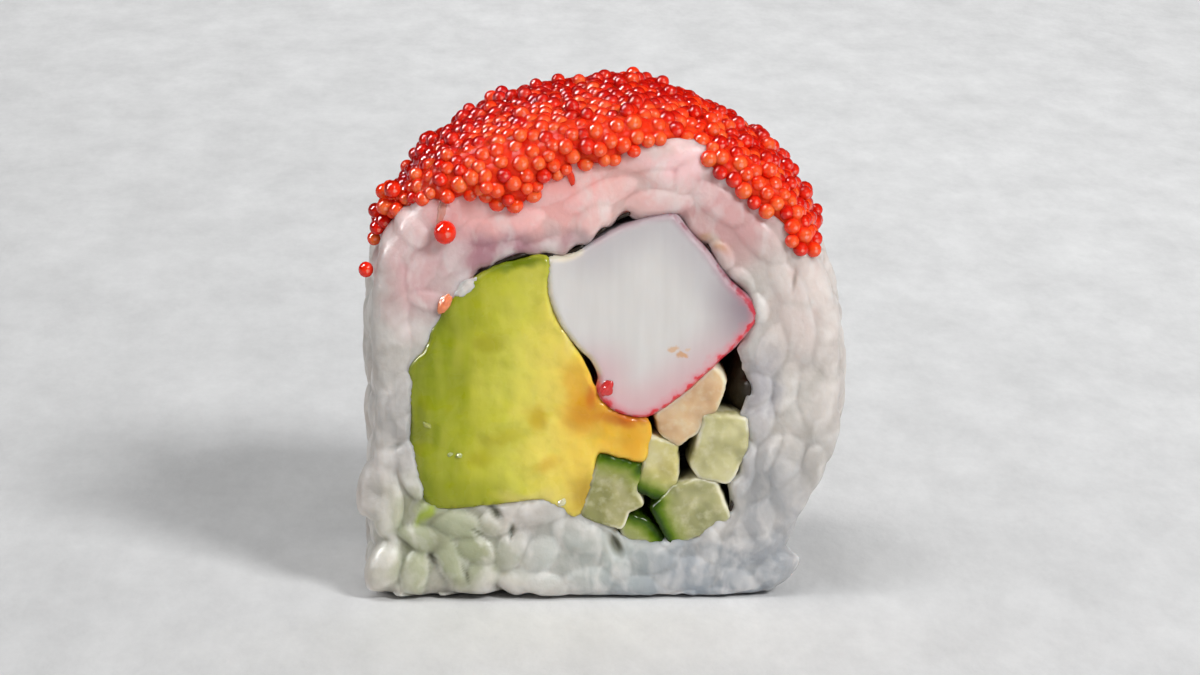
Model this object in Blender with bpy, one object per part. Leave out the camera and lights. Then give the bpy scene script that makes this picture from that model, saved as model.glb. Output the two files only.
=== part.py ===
"""One slice of inside-out California roll, standing on its flattened underside.

A ring of sushi rice is capped with flying-fish roe. A sheet of seaweed lines the ring and holds the
filling: a wedge of avocado, a crab stick and six cucumber batons, all running right through the slice.

Metres, +Z up. The origin is on the board under the middle of the slice. The roll's own axis lies
along Y, and the shown cut face looks towards -Y.
"""

import itertools
import math
import random

import bpy
import numpy as np
from mathutils import Matrix, Vector

MM = 0.001
SEED = 12

# The slice: how thick it was cut, and how round its cut edges are
SLICE_DEPTH = 24.0 * MM
CUT_EDGE_RADIUS = 1.5 * MM
WALL_BULGE = 0.8 * MM
SHARP_ANGLE = math.radians(50)

# Room left between pieces that touch, and the seaweed's thickness
TOUCH_GAP = 0.3 * MM
SEAWEED_GAP = 0.25 * MM
SEAWEED_THICKNESS = 0.3 * MM
SEAWEED_RECESS = 0.5 * MM
SEAWEED_ROOM = 0.3 * MM

# Cooked sushi rice, and how far its grains stand out of the packed core
GRAIN_LENGTH = 5.6 * MM
GRAIN_WIDTH = 2.6 * MM
GRAIN_SPREAD = 0.12
GRAIN_FULLNESS = 0.8
GRAIN_LEAN = 0.25
GRAIN_PROUD = 0.7 * MM
GRAIN_SIDES = 6
GRAIN_RINGS = 3
FACE_GRAIN_SPACING = 3.5 * MM
WALL_GRAIN_SPACING = 4.4 * MM
FACE_GRAINS = 46
WALL_GRAINS = 58
WALL_SHARE = (0.1, 0.9)
MOST_TRIES = 6000

# Roe: a bed with the largest pearls fused on, spread evenly
PEARL_RADIUS = 0.85 * MM
PEARL_SPREAD = 0.15
PEARL_SPACING = 3.0 * MM
PEARL_LIFT = 0.1
PEARL_ROW_PACE = 0.87
PEARL_OUT_OF_LINE = 0.15
PEARL_FROM_LIP = 0.35 * MM
ROE_BED_STEP = 2.2 * MM
ROE_LEAST_ROW = 0.2 * MM
ROE_CLEARANCE = 2.6 * MM

# The rice ring's outer line on the cut face, in millimetres, up the left side and over the top. Its
# lowest points lie under the board, where the ring is cut off flat.
ROLL_OUTLINE = [
    (-17.5, -2.2), (-19.8, -0.8), (-20.6, 1.4), (-20.6, 5.0), (-20.5, 11.0), (-20.6, 18.0),
    (-20.7, 24.0), (-20.6, 28.6), (-20.2, 31.3), (-19.1, 33.5), (-17.3, 35.6), (-14.9, 37.7),
    (-11.0, 39.7), (-6.3, 41.2), (-1.0, 42.1), (2.9, 42.4), (7.2, 41.3), (11.1, 39.5),
    (14.2, 37.4), (16.5, 35.1), (18.3, 32.2), (19.8, 28.8), (20.9, 24.5), (21.3, 19.5),
    (20.9, 14.8), (19.8, 11.2), (18.1, 8.0), (16.6, 5.0), (16.0, 2.4), (15.1, 0.2), (13.0, -1.6),
    (8.0, -2.2), (-3.0, -2.2), (-10.0, -2.2),
]

# The far end of the left shoulder has slumped: by how much, where, and over how wide an angle
SLUMP = 2.0 * MM
SLUMP_ANGLE = 136.0
SLUMP_SPREAD = 20.0

# The tunnel through the rice that the filling sits in, in millimetres, the same way round.
TUNNEL_OUTLINE = [
    (-16.0, 8.8), (-16.8, 11.9), (-17.2, 16.0), (-17.1, 19.5), (-16.2, 22.8), (-14.7, 25.9),
    (-12.6, 28.4), (-10.0, 30.2), (-7.3, 31.2), (-4.6, 31.1), (-2.0, 31.9), (0.0, 33.4),
    (2.1, 34.7), (5.9, 35.0), (7.6, 33.5), (9.3, 31.6), (11.1, 29.4), (13.2, 26.8), (13.4, 25.0),
    (12.7, 22.5), (12.8, 17.5), (12.7, 13.0), (11.6, 10.0), (10.8, 7.3), (8.6, 5.6), (5.0, 4.4),
    (2.3, 4.5), (0.6, 6.1), (-1.8, 7.2), (-4.5, 8.6), (-7.5, 8.9), (-11.0, 8.5), (-14.6, 8.1),
]
TUNNEL_CENTRE = (-1.5 * MM, 19.0 * MM)

CRAB_OUTLINE = [
    (-5.0, 31.0), (-5.0, 28.0), (-4.2, 25.4), (-2.7, 23.2), (-1.1, 21.0), (-0.7, 18.9), (0.3, 17.5),
    (2.0, 16.7), (3.9, 16.7), (6.6, 18.5), (9.4, 21.0), (11.8, 23.4), (13.1, 25.2), (12.9, 26.7),
    (10.9, 28.6), (8.8, 31.4), (7.1, 33.3), (5.8, 34.7), (3.3, 34.5), (0.4, 33.4), (-2.0, 31.9),
    (-3.6, 31.2),
]
AVOCADO_OUTLINE = [
    (-5.1, 30.8), (-8.5, 30.4), (-11.3, 29.2), (-13.6, 27.3), (-15.3, 24.4), (-16.5, 21.4),
    (-17.0, 18.0), (-16.8, 13.8), (-16.2, 10.4), (-15.2, 8.7), (-11.5, 8.7), (-6.5, 9.2),
    (-4.1, 8.5), (-2.7, 7.6), (-1.9, 8.5), (-1.1, 11.0), (-0.7, 13.3), (1.2, 13.0), (3.2, 12.6),
    (3.7, 14.2), (3.7, 16.2), (1.9, 16.6), (0.0, 17.5), (-0.9, 19.0), (-1.3, 21.1), (-3.0, 23.4),
    (-4.5, 25.7), (-5.1, 28.1),
]
# Corners of the cucumber batons' cut ends, in millimetres, and how deep each end lies under the cut
CUCUMBERS = {
    "cucumber_core": ([(4.5, 16.7), (6.9, 18.5), (9.6, 20.9), (10.5, 19.6), (9.8, 17.1),
                       (8.7, 16.4), (8.2, 15.2), (6.4, 13.9), (5.0, 14.9)], 0.5),
    "cucumber_right": ([(8.7, 16.6), (12.5, 16.3), (12.4, 13.5), (10.9, 10.5), (8.2, 11.0),
                        (7.6, 12.2), (8.3, 14.5)], 0.3),
    "cucumber_middle": ([(3.7, 14.8), (6.2, 14.0), (6.3, 12.0), (6.1, 10.0), (4.6, 9.0), (2.7, 9.8),
                         (3.4, 12.4)], 0.6),
    "cucumber_left": ([(-0.5, 13.2), (3.1, 12.3), (2.6, 9.8), (3.4, 8.6), (2.0, 8.0), (1.3, 6.4),
                       (-2.1, 7.7), (-1.1, 11.2)], 0.2),
    "cucumber_lower": ([(6.1, 10.2), (8.3, 10.9), (9.7, 10.5), (11.0, 7.2), (8.0, 5.6), (5.8, 4.8),
                        (4.1, 8.2)], 0.4),
    "cucumber_bottom": ([(2.3, 7.7), (3.7, 7.1), (5.4, 5.0), (2.4, 4.6), (1.4, 6.1)], 0.8),
}
CUCUMBER_CORNER = 0.35 * MM
FILLING_EDGE = 0.4 * MM
AVOCADO_RECESS = 0.2 * MM
CRAB_RECESS = 0.0

# Where the roe ends on the outline, as x on the cut face, and how thick its bed is and how far it
# hangs over the front cut's edge at each x, in millimetres
ROE_LEFT_X, ROE_RIGHT_X = -18.9 * MM, 18.0 * MM
ROE_BED_THICKNESS = [(-19.0, 0.4), (-14.0, 0.8), (0.0, 1.3), (12.0, 1.0), (18.5, 0.5)]
ROE_FRONT_LIP = [
    (-19.0, -5.5), (-17.5, -3.0), (-14.6, -0.4), (-11.8, 0.2), (-10.4, 2.4), (-8.4, 2.4), (-6.9, 1.7),
    (-5.4, 0.8), (-3.0, 0.0), (-0.6, 0.7), (1.0, 0.4), (5.2, -1.1), (7.3, -2.0), (9.2, -0.7),
    (14.4, -0.2), (16.3, -0.9), (17.4, -0.3), (18.5, -1.4),
]
ROE_BACK_LIP = 0.2 * MM
ROE_BACK_WAVE = 1.3 * MM
ROE_BACK_WAVE_LENGTHS = (2.3 * MM, 5.1 * MM)

# Two pearls that fell off the roe, each by its x, y, z and radius in millimetres
LOOSE_PEARLS = {
    "roe_pearl_front": (-14.0, -12.75, 33.4, 1.05),
    "roe_pearl_side": (-20.9, -9.8, 29.6, 0.7),
}

# The grain that sticks out at the left side, low down: its place, width and direction
SIDE_GRAIN_PLACE = (-20.6 * MM, -9.8 * MM, 10.0 * MM)
SIDE_GRAIN_WIDTH = 3.0 * MM
SIDE_GRAIN_RUN = (0.35, 0.1, 1.0)

# How many points each kind of line is drawn with
DENSE = 600
CURVE_STEPS = 24
CORNER_STEPS = 4
RAYS = 60
AVOCADO_POINTS = 54
CRAB_POINTS = 40
CUCUMBER_POINTS = 20


def clear_scene():
    """Starts from an empty scene."""
    for obj in list(bpy.data.objects):
        bpy.data.objects.remove(obj)


def finish_material(name, colour, roughness):
    """A Principled BSDF material of that linear colour and roughness, not metallic."""
    material = bpy.data.materials.new(name)
    material.use_nodes = True
    shader = material.node_tree.nodes["Principled BSDF"]
    shader.inputs["Base Color"].default_value = (*colour, 1.0)
    shader.inputs["Roughness"].default_value = roughness
    shader.inputs["Metallic"].default_value = 0.0
    return material


def mesh_object(name, points, faces, material=None):
    """A new object with that mesh, shaded smooth up to sharp corners."""
    mesh = bpy.data.meshes.new(name)
    mesh.from_pydata([tuple(p) for p in points], [], [tuple(f) for f in faces])
    mesh.validate()
    mesh.update()
    mesh.shade_smooth()
    mesh.set_sharp_from_angle(angle=SHARP_ANGLE)
    if material:
        mesh.materials.append(material)
    obj = bpy.data.objects.new(name, mesh)
    bpy.context.scene.collection.objects.link(obj)
    return obj


def smooth_loop(points_mm, count=DENSE):
    """A closed curve through points given in millimetres, as count points evenly along it, in metres."""
    points = np.array(points_mm) * MM
    share = np.linspace(0, 1, CURVE_STEPS, endpoint=False)[:, None]
    spans = []
    for i in range(len(points)):
        a, b, c, d = (points[(i + k) % len(points)] for k in (-1, 0, 1, 2))
        spans.append(
            0.5 * (2 * b + (c - a) * share + (2 * a - 5 * b + 4 * c - d) * share**2
                   + (3 * b - a - 3 * c + d) * share**3)
        )
    return evenly(np.concatenate(spans), count)


def rounded_loop(corners_mm, radius, count):
    """A polygon with its corners given in millimetres, each cut to an arc-like corner of that radius."""
    corners = np.array(corners_mm) * MM
    points = []
    for i, corner in enumerate(corners):
        before = corners[i - 1] - corner
        after = corners[(i + 1) % len(corners)] - corner
        start = corner + before / np.linalg.norm(before) * radius
        end = corner + after / np.linalg.norm(after) * radius
        for t in np.linspace(0, 1, CORNER_STEPS):
            points.append((1 - t) ** 2 * start + 2 * t * (1 - t) * corner + t**2 * end)
    return evenly(np.array(points), count)


def evenly(loop, count):
    """The closed loop as count points at even steps along it, running clockwise."""
    after = np.roll(loop, -1, axis=0)
    if (loop[:, 0] * after[:, 1] - loop[:, 1] * after[:, 0]).sum() > 0:
        loop = loop[::-1]
    closed = np.vstack([loop, loop[:1]])
    along = np.concatenate([[0], np.cumsum(np.linalg.norm(np.diff(closed, axis=0), axis=1))])
    at = np.linspace(0, along[-1], count, endpoint=False)
    return np.stack([np.interp(at, along, closed[:, k]) for k in range(2)], axis=1)


def outward(loop):
    """The unit normals of a loop that runs clockwise, pointing out of it."""
    run = np.roll(loop, -1, axis=0) - np.roll(loop, 1, axis=0)
    normals = np.stack([-run[:, 1], run[:, 0]], axis=1)
    return normals / np.linalg.norm(normals, axis=1, keepdims=True)


def grown(loop, distance):
    """The loop moved outwards by distance, or inwards where that is negative."""
    return loop + outward(loop) * distance


def ray_loop(loop, angles, centre=TUNNEL_CENTRE):
    """Where rays from centre at those angles meet the loop, which every ray meets once."""
    offset = loop - centre
    turn = np.arctan2(offset[:, 1], offset[:, 0])
    order = np.argsort(turn)
    radius = np.interp(angles, turn[order], np.linalg.norm(offset[order], axis=1), period=2 * math.pi)
    return centre + np.stack([np.cos(angles), np.sin(angles)], axis=1) * radius[:, None]


def kept_inside(loop, limit, centre=TUNNEL_CENTRE):
    """The loop with any point that lies past limit pulled straight back to it, as soft food yields."""
    offset = loop - centre
    angle = np.arctan2(offset[:, 1], offset[:, 0])
    most = np.linalg.norm(ray_loop(limit, angle) - centre, axis=1)
    radius = np.linalg.norm(offset, axis=1)
    return centre + offset * np.minimum(1.0, most / radius)[:, None]


def distance_to(loop, point):
    """How far point is from the nearest point of a dense loop."""
    return float(np.linalg.norm(loop - point, axis=1).min())


def is_inside(loop, point):
    """Whether point lies inside the loop."""
    a, b = loop, np.roll(loop, -1, axis=0)
    crosses = (a[:, 1] > point[1]) != (b[:, 1] > point[1])
    rise = np.where(crosses, b[:, 1] - a[:, 1], 1.0)
    x = a[:, 0] + (point[1] - a[:, 1]) / rise * (b[:, 0] - a[:, 0])
    return bool((crosses & (point[0] < x)).sum() % 2)


def rings_to_mesh(rings, closed_tube=False):
    """Faces between rings of equal length, with caps unless the tube closes on itself."""
    count = len(rings[0])
    points = [p for ring in rings for p in ring]
    faces = []
    spans = len(rings) if closed_tube else len(rings) - 1
    for i in range(spans):
        first, second = i * count, (i + 1) % len(rings) * count
        for k in range(count):
            n = (k + 1) % count
            faces.append((first + k, first + n, second + n, second + k))
    if not closed_tube:
        faces.append(tuple(reversed(range(count))))
        faces.append(tuple(range((len(rings) - 1) * count, len(rings) * count)))
    return points, faces


def at_depth(loop, y):
    """A loop of the cut face as points in space, at that y."""
    return [Vector((x, y, z)) for x, z in loop]


def core_skin(across):
    """The rice core's skin that far across the slice, as (inset, y, the normal's share out and along y).

    across is 0 where the front cut's flat ends, and grows round the edge, over the wall and round the
    back cut's edge. Below 0 it runs down the front face, and past SKIN_LENGTH down the back face.
    """
    if across > SKIN_LENGTH / 2:
        inset, y, out, along = core_skin(SKIN_LENGTH - across)
        return inset, -y, out, -along
    if across < 0:
        return CUT_EDGE_RADIUS - across, -CORE_HALF, 0.0, -1.0
    wall_start = -CORE_HALF + CUT_EDGE_RADIUS
    if across < CORNER_LENGTH:
        turn = across / CUT_EDGE_RADIUS
        inset = CUT_EDGE_RADIUS * (1 - math.sin(turn))
        return inset, wall_start - CUT_EDGE_RADIUS * math.cos(turn), math.sin(turn), -math.cos(turn)
    on_wall = across - CORNER_LENGTH
    bulge = WALL_BULGE * math.sin(math.pi * on_wall / (SKIN_LENGTH - 2 * CORNER_LENGTH))
    return -bulge, wall_start + on_wall, 1.0, 0.0


CORE_HALF = SLICE_DEPTH / 2 - GRAIN_PROUD
CORNER_LENGTH = CUT_EDGE_RADIUS * math.pi / 2
SKIN_LENGTH = 2 * (CORNER_LENGTH + CORE_HALF - CUT_EDGE_RADIUS)
RIM_STEPS = [0.0, CORNER_LENGTH / 2, CORNER_LENGTH, SKIN_LENGTH / 2]
RIM_STEPS += [SKIN_LENGTH - s for s in reversed(RIM_STEPS[:-1])]

ANGLES = np.linspace(-math.pi, math.pi, RAYS, endpoint=False)[::-1]
CORE_LOOP = grown(smooth_loop(ROLL_OUTLINE), -GRAIN_PROUD)
CORE_NORMALS = outward(CORE_LOOP)
TUNNEL_LOOP = evenly(ray_loop(grown(smooth_loop(TUNNEL_OUTLINE), SEAWEED_ROOM), ANGLES), DENSE)


def slumped(inset, y, index=slice(None)):
    """The core's outline points at that y, moved in by inset and by the slump of the far left shoulder."""
    x, z = CORE_LOOP[index].T
    angle = np.degrees(np.arctan2(z - TUNNEL_CENTRE[1], x - TUNNEL_CENTRE[0]))
    backward = (y + CORE_HALF) / (2 * CORE_HALF)
    slump = SLUMP * backward * np.exp(-((angle - SLUMP_ANGLE) / SLUMP_SPREAD) ** 2)
    return CORE_LOOP[index] - CORE_NORMALS[index] * np.reshape(inset + slump, (-1, 1))


def skin_place(index, across, lift=0.0):
    """A point over the rice core's skin and its normal, at an outline point and that far across."""
    inset, y, out, along = core_skin(across)
    x, z = slumped(inset, y, [index])[0]
    normal = Vector((CORE_NORMALS[index][0] * out, along, CORE_NORMALS[index][1] * out))
    return Vector((x, y, z)) + normal * lift, normal


def outline_index(x):
    """The outline point above the tunnel's centre that is nearest to x."""
    high = np.where(CORE_LOOP[:, 1] > TUNNEL_CENTRE[1])[0]
    return int(high[np.argmin(np.abs(CORE_LOOP[high, 0] - x))])


def looked_up(table_mm, x):
    """The value at x of a table of (x, value) in millimetres, in metres."""
    known = np.array(table_mm) * MM
    return float(np.interp(x, known[:, 0], known[:, 1]))


def front_lip(x):
    """How far the roe hangs over the front cut's edge at x."""
    return looked_up(ROE_FRONT_LIP, x)


def roe_lift(x):
    """How far the roe bed's outer side is from the rice core at x."""
    return TOUCH_GAP + looked_up(ROE_BED_THICKNESS, x)


def back_lip(x):
    """How far the roe hangs over the back cut's edge at x, in uneven waves."""
    short, long = ROE_BACK_WAVE_LENGTHS
    return ROE_BACK_LIP + ROE_BACK_WAVE * math.sin(x / short) * math.cos(x / long)


def grain_shape(length, width):
    """A short-grain rice kernel along Z with few sides: a point at each end and a fuller middle."""
    rings = []
    for i in range(GRAIN_RINGS):
        turn = math.pi * (i + 1) / (GRAIN_RINGS + 1)
        radius = width / 2 * math.sin(turn) ** GRAIN_FULLNESS
        height = length / 2 * math.cos(turn)
        rings.append([
            Vector((radius * math.cos(2 * math.pi * (k + i / 2) / GRAIN_SIDES),
                    radius * math.sin(2 * math.pi * (k + i / 2) / GRAIN_SIDES), height))
            for k in range(GRAIN_SIDES)
        ])
    points = [p for ring in rings for p in ring]
    top, bottom = len(points), len(points) + 1
    points += [Vector((0, 0, length / 2)), Vector((0, 0, -length / 2))]
    faces = []
    for k in range(GRAIN_SIDES):
        n = (k + 1) % GRAIN_SIDES
        faces.append((top, k, n))
        last = (GRAIN_RINGS - 1) * GRAIN_SIDES
        faces.append((bottom, last + n, last + k))
        for i in range(GRAIN_RINGS - 1):
            a, b = i * GRAIN_SIDES, (i + 1) * GRAIN_SIDES
            faces.append((a + k, b + k, a + n))
            faces.append((a + n, b + k, b + n))
    return points, faces


def pearl_shape(radius, spin):
    """A pearl of roe with twenty sides, turned by spin so that no two look alike.

    Its faces are every three corners that all lie one side length apart.
    """
    golden = (1 + math.sqrt(5)) / 2
    corners = [Vector(c) for s in (-1, 1) for t in (-golden, golden)
               for c in ((0, s, t), (s, t, 0), (t, 0, s))]
    points = [spin @ (c.normalized() * radius) for c in corners]
    side = min((c - corners[0]).length for c in corners[1:])
    faces = []
    for i, j, k in itertools.combinations(range(len(corners)), 3):
        a, b, c = corners[i], corners[j], corners[k]
        if max((a - b).length, (b - c).length, (c - a).length) < 1.1 * side:
            faces.append((i, j, k) if (b - a).cross(c - a).dot(a) > 0 else (i, k, j))
    return points, faces


def random_spin(rng):
    """A rotation with no preferred direction."""
    axis = Vector((rng.gauss(0, 1), rng.gauss(0, 1), rng.gauss(0, 1))).normalized()
    return Matrix.Rotation(rng.uniform(0, 2 * math.pi), 3, axis)


def grain_at(name, place, direction, length, width):
    """A rice grain whose middle is at place and whose length runs along direction."""
    points, faces = grain_shape(length, width)
    turn = direction.to_track_quat("Z", "Y").to_matrix()
    return mesh_object(name, [place + turn @ p for p in points], faces)


def fused(core, pieces):
    """The core with all pieces joined to it by one union, and the pieces removed."""
    group = bpy.data.collections.new(core.name + "_pieces")
    bpy.context.scene.collection.children.link(group)
    for piece in pieces:
        bpy.context.scene.collection.objects.unlink(piece)
        group.objects.link(piece)
    union = core.modifiers.new("union", "BOOLEAN")
    union.operation = "UNION"
    union.operand_type = "COLLECTION"
    union.collection = group
    union.solver = "EXACT"
    bpy.context.view_layer.update()
    joined = bpy.data.meshes.new_from_object(core.evaluated_get(bpy.context.evaluated_depsgraph_get()))
    core.modifiers.clear()
    core.data = joined
    for piece in pieces:
        bpy.data.objects.remove(piece)
    bpy.data.collections.remove(group)
    return core


def rice_core(material):
    """The packed rice as a ring, smooth, with its tunnel and its cut edges a little round."""
    tunnel = ray_loop(TUNNEL_LOOP, ANGLES)
    rings = [at_depth(tunnel, CORE_HALF), at_depth(tunnel, -CORE_HALF)]
    for across in RIM_STEPS:
        inset, y, _, _ = core_skin(across)
        ring = ray_loop(slumped(inset, y), ANGLES)
        ring[:, 1] = np.maximum(ring[:, 1], 0.0)
        rings.append(at_depth(ring, y))
    return mesh_object("rice", *rings_to_mesh(rings, closed_tube=True), material)


def under_roe(place_xz, side, margin):
    """Whether a place on a cut face lies under the roe's lip or within margin of it."""
    left, right = outline_index(ROE_LEFT_X), outline_index(ROE_RIGHT_X)
    away = np.linalg.norm(slumped(0.0, side * CORE_HALF) - place_xz, axis=1)
    nearest = int(np.argmin(away))
    if left <= nearest <= right:
        x = CORE_LOOP[nearest][0]
        lip = front_lip(x) if side < 0 else back_lip(x)
        return away[nearest] < CUT_EDGE_RADIUS + max(lip, 0.0) + margin
    return min(away[left], away[right]) < CUT_EDGE_RADIUS + margin


def varied(rng, size, spread):
    """A size drawn evenly from within that share of it."""
    return size * (1 + rng.uniform(-spread, spread))


def face_grains(rng, side, wanted):
    """Grains lying in a cut face, clear of the tunnel and of the roe's lip. side is -1 in front."""
    low, high = CORE_LOOP.min(axis=0), CORE_LOOP.max(axis=0)
    made, centres = [], []
    for _ in range(MOST_TRIES):
        if len(made) == wanted:
            break
        place = np.array([rng.uniform(low[k], high[k]) for k in range(2)])
        length, width = varied(rng, GRAIN_LENGTH, GRAIN_SPREAD), varied(rng, GRAIN_WIDTH, GRAIN_SPREAD)
        turn, lean = rng.uniform(0, math.pi), rng.uniform(-GRAIN_LEAN, GRAIN_LEAN)
        if any(np.linalg.norm(place - c) < FACE_GRAIN_SPACING for c in centres):
            continue
        run = np.array([math.cos(turn), math.sin(turn)])
        reach = (length - width) / 2
        clear = all(
            is_inside(CORE_LOOP, e) and not is_inside(TUNNEL_LOOP, e)
            and distance_to(TUNNEL_LOOP, e) > width / 2 + TOUCH_GAP
            and e[1] > width / 2 and not under_roe(e, side, ROE_CLEARANCE)
            for e in (place - run * reach, place, place + run * reach)
        )
        if not clear:
            continue
        y = side * (SLICE_DEPTH / 2 - width / 2)
        direction = Vector((run[0], lean, run[1])).normalized()
        made.append(grain_at("grain", Vector((place[0], y, place[1])), direction, length, width))
        centres.append(place)
    return made


def wall_grains(rng, wanted):
    """Grains lying in the ring's outer wall, below the roe and clear of the board."""
    left, right = outline_index(ROE_LEFT_X), outline_index(ROE_RIGHT_X)
    made, centres = [], []
    for _ in range(MOST_TRIES):
        if len(made) == wanted:
            break
        index = rng.randrange(DENSE)
        across = rng.uniform(*WALL_SHARE) * SKIN_LENGTH
        length, width = varied(rng, GRAIN_LENGTH, GRAIN_SPREAD), varied(rng, GRAIN_WIDTH, GRAIN_SPREAD)
        turn = rng.uniform(0, math.pi)
        place, normal = skin_place(index, across, GRAIN_PROUD - width / 2)
        to_roe = distance_to(CORE_LOOP[[left, right]], np.array([place.x, place.z]))
        if left < index < right or to_roe < length / 2 + ROE_CLEARANCE:
            continue
        if any((place - c).length < WALL_GRAIN_SPACING for c in centres):
            continue
        tangent = normal.cross(Vector((0, 1, 0))).normalized()
        direction = (tangent * math.cos(turn) + normal.cross(tangent) * math.sin(turn)).normalized()
        lowest = place.z - abs(direction.z) * length / 2 - width / 2 * math.sqrt(1 - direction.z**2)
        if lowest < 0 or abs(place.y) + abs(direction.y) * length / 2 > SLICE_DEPTH / 2:
            continue
        made.append(grain_at("grain", place, direction, length, width))
        centres.append(place)
    return made


def side_grain():
    """The one grain that sticks out at the left."""
    run = Vector(SIDE_GRAIN_RUN).normalized()
    return grain_at("grain", Vector(SIDE_GRAIN_PLACE), run, GRAIN_LENGTH, SIDE_GRAIN_WIDTH)


def make_rice():
    """The rice: a packed core with the grains that show fused on."""
    rng = random.Random(SEED)
    core = rice_core(finish_material("rice", (0.72, 0.71, 0.68), 0.35))
    pieces = face_grains(rng, -1, FACE_GRAINS) + face_grains(rng, 1, FACE_GRAINS)
    pieces += wall_grains(rng, WALL_GRAINS) + [side_grain()]
    return fused(core, pieces)


def roe_places(step):
    """Outline points from the roe's left end to its right end, step apart."""
    left, right = outline_index(ROE_LEFT_X), outline_index(ROE_RIGHT_X)
    pace = float(np.linalg.norm(CORE_LOOP[1] - CORE_LOOP[0]))
    count = max(2, round((right - left) * pace / step) + 1)
    return [round(i) for i in np.linspace(left, right, count)]


def roe_bed(material):
    """The roe's bed: a curved slab over the roll's top that hangs a little over both cut edges."""
    outer, inner = [], []
    for index in roe_places(ROE_BED_STEP):
        x = CORE_LOOP[index][0]
        start, end = -front_lip(x), SKIN_LENGTH + back_lip(x)
        spans = [start] + [
            min(max(s, start + (k + 1) * ROE_LEAST_ROW), end - (len(RIM_STEPS) - k) * ROE_LEAST_ROW)
            for k, s in enumerate(RIM_STEPS)
        ] + [end]
        outer.append([skin_place(index, s, roe_lift(x))[0] for s in spans])
        inner.append([skin_place(index, s, TOUCH_GAP)[0] for s in spans])
    rings = [list(o) + list(reversed(i)) for o, i in zip(outer, inner)]
    return mesh_object("roe", *rings_to_mesh(rings), material)


def bed_pearls(rng):
    """The largest pearls, in staggered rows over the bed, each a little out of line."""
    made = []
    for row, index in enumerate(roe_places(PEARL_SPACING * PEARL_ROW_PACE)):
        x = CORE_LOOP[index][0]
        start, end = PEARL_FROM_LIP - front_lip(x), SKIN_LENGTH + back_lip(x) - PEARL_FROM_LIP
        count = max(2, round((end - start) / PEARL_SPACING))
        for k in range(count):
            stagger = 0.5 * (row % 2) + rng.uniform(-PEARL_OUT_OF_LINE, PEARL_OUT_OF_LINE)
            share = min(max((k + stagger) / (count - 0.5), 0.0), 1.0)
            radius = varied(rng, PEARL_RADIUS, PEARL_SPREAD)
            place, _ = skin_place(index, start + share * (end - start), roe_lift(x) + radius * PEARL_LIFT)
            points, faces = pearl_shape(radius, random_spin(rng))
            made.append(mesh_object("pearl", [place + p for p in points], faces))
    return made


def make_roe():
    """The roe, its bed with pearls fused on, and the two pearls that fell off it."""
    rng = random.Random(SEED + 1)
    material = finish_material("roe", (0.75, 0.05, 0.015), 0.15)
    fused(roe_bed(material), bed_pearls(rng))
    for name, (x, y, z, radius) in LOOSE_PEARLS.items():
        points, faces = pearl_shape(radius * MM, random_spin(rng))
        place = Vector((x, y, z)) * MM
        mesh_object(name, [place + p for p in points], faces, material)


def make_seaweed():
    """The seaweed sheet, rolled to a thin tube that lines the tunnel."""
    outside = ray_loop(grown(TUNNEL_LOOP, -SEAWEED_GAP), ANGLES)
    inside = ray_loop(grown(TUNNEL_LOOP, -SEAWEED_GAP - SEAWEED_THICKNESS), ANGLES)
    half = SLICE_DEPTH / 2 - SEAWEED_RECESS
    rings = [at_depth(inside, half), at_depth(inside, -half)]
    rings += [at_depth(outside, -half), at_depth(outside, half)]
    material = finish_material("seaweed", (0.012, 0.016, 0.010), 0.45)
    return mesh_object("seaweed", *rings_to_mesh(rings, closed_tube=True), material)


def clear_of(loop, firm):
    """The loop with any point nearer than TOUCH_GAP to a firmer neighbour moved out to that distance."""
    border = grown(firm, TOUCH_GAP)
    moved = loop.copy()
    for i, point in enumerate(loop):
        if is_inside(border, point):
            moved[i] = border[np.argmin(np.linalg.norm(border - point, axis=1))]
    return moved


def filling(name, loop, recess, material, firmer=()):
    """A piece of filling that runs through the slice, with its cut edges a little round."""
    limit = grown(TUNNEL_LOOP, -2 * SEAWEED_GAP - SEAWEED_THICKNESS)
    full = kept_inside(grown(loop, -TOUCH_GAP / 2), limit)
    for firm in firmer:
        full = clear_of(full, firm)
    small = grown(full, -FILLING_EDGE)
    half = SLICE_DEPTH / 2 - recess
    rings = [at_depth(small, -half), at_depth(full, -half + FILLING_EDGE)]
    rings += [at_depth(full, half - FILLING_EDGE), at_depth(small, half)]
    return mesh_object(name, *rings_to_mesh(rings), material)


def make_fillings():
    """The avocado wedge, the crab stick and the cucumber batons."""
    crab = finish_material("crab_stick", (0.70, 0.68, 0.66), 0.35)
    filling("crab_stick", smooth_loop(CRAB_OUTLINE, CRAB_POINTS), CRAB_RECESS, crab)
    cucumber = finish_material("cucumber", (0.45, 0.52, 0.20), 0.25)
    firm = [grown(smooth_loop(CRAB_OUTLINE), -TOUCH_GAP / 2)]
    for name, (corners, recess) in CUCUMBERS.items():
        loop = rounded_loop(corners, CUCUMBER_CORNER, CUCUMBER_POINTS)
        filling(name, loop, recess * MM, cucumber, firm[:1])
        firm.append(grown(rounded_loop(corners, CUCUMBER_CORNER, DENSE), -TOUCH_GAP / 2))
    avocado = finish_material("avocado", (0.45, 0.46, 0.06), 0.3)
    filling("avocado", smooth_loop(AVOCADO_OUTLINE, AVOCADO_POINTS), AVOCADO_RECESS, avocado, firm)


def main():
    clear_scene()
    make_rice()
    make_roe()
    make_seaweed()
    make_fillings()


main()
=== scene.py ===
"""The looks of one slice of inside-out California roll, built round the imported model.

The slice stands on its flattened underside. The cut face that shows looks towards -Y, and the roll's
own axis lies along Y. Sizes are in millimetres until a mesh is made, which is in metres.
"""

import math
import random

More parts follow.
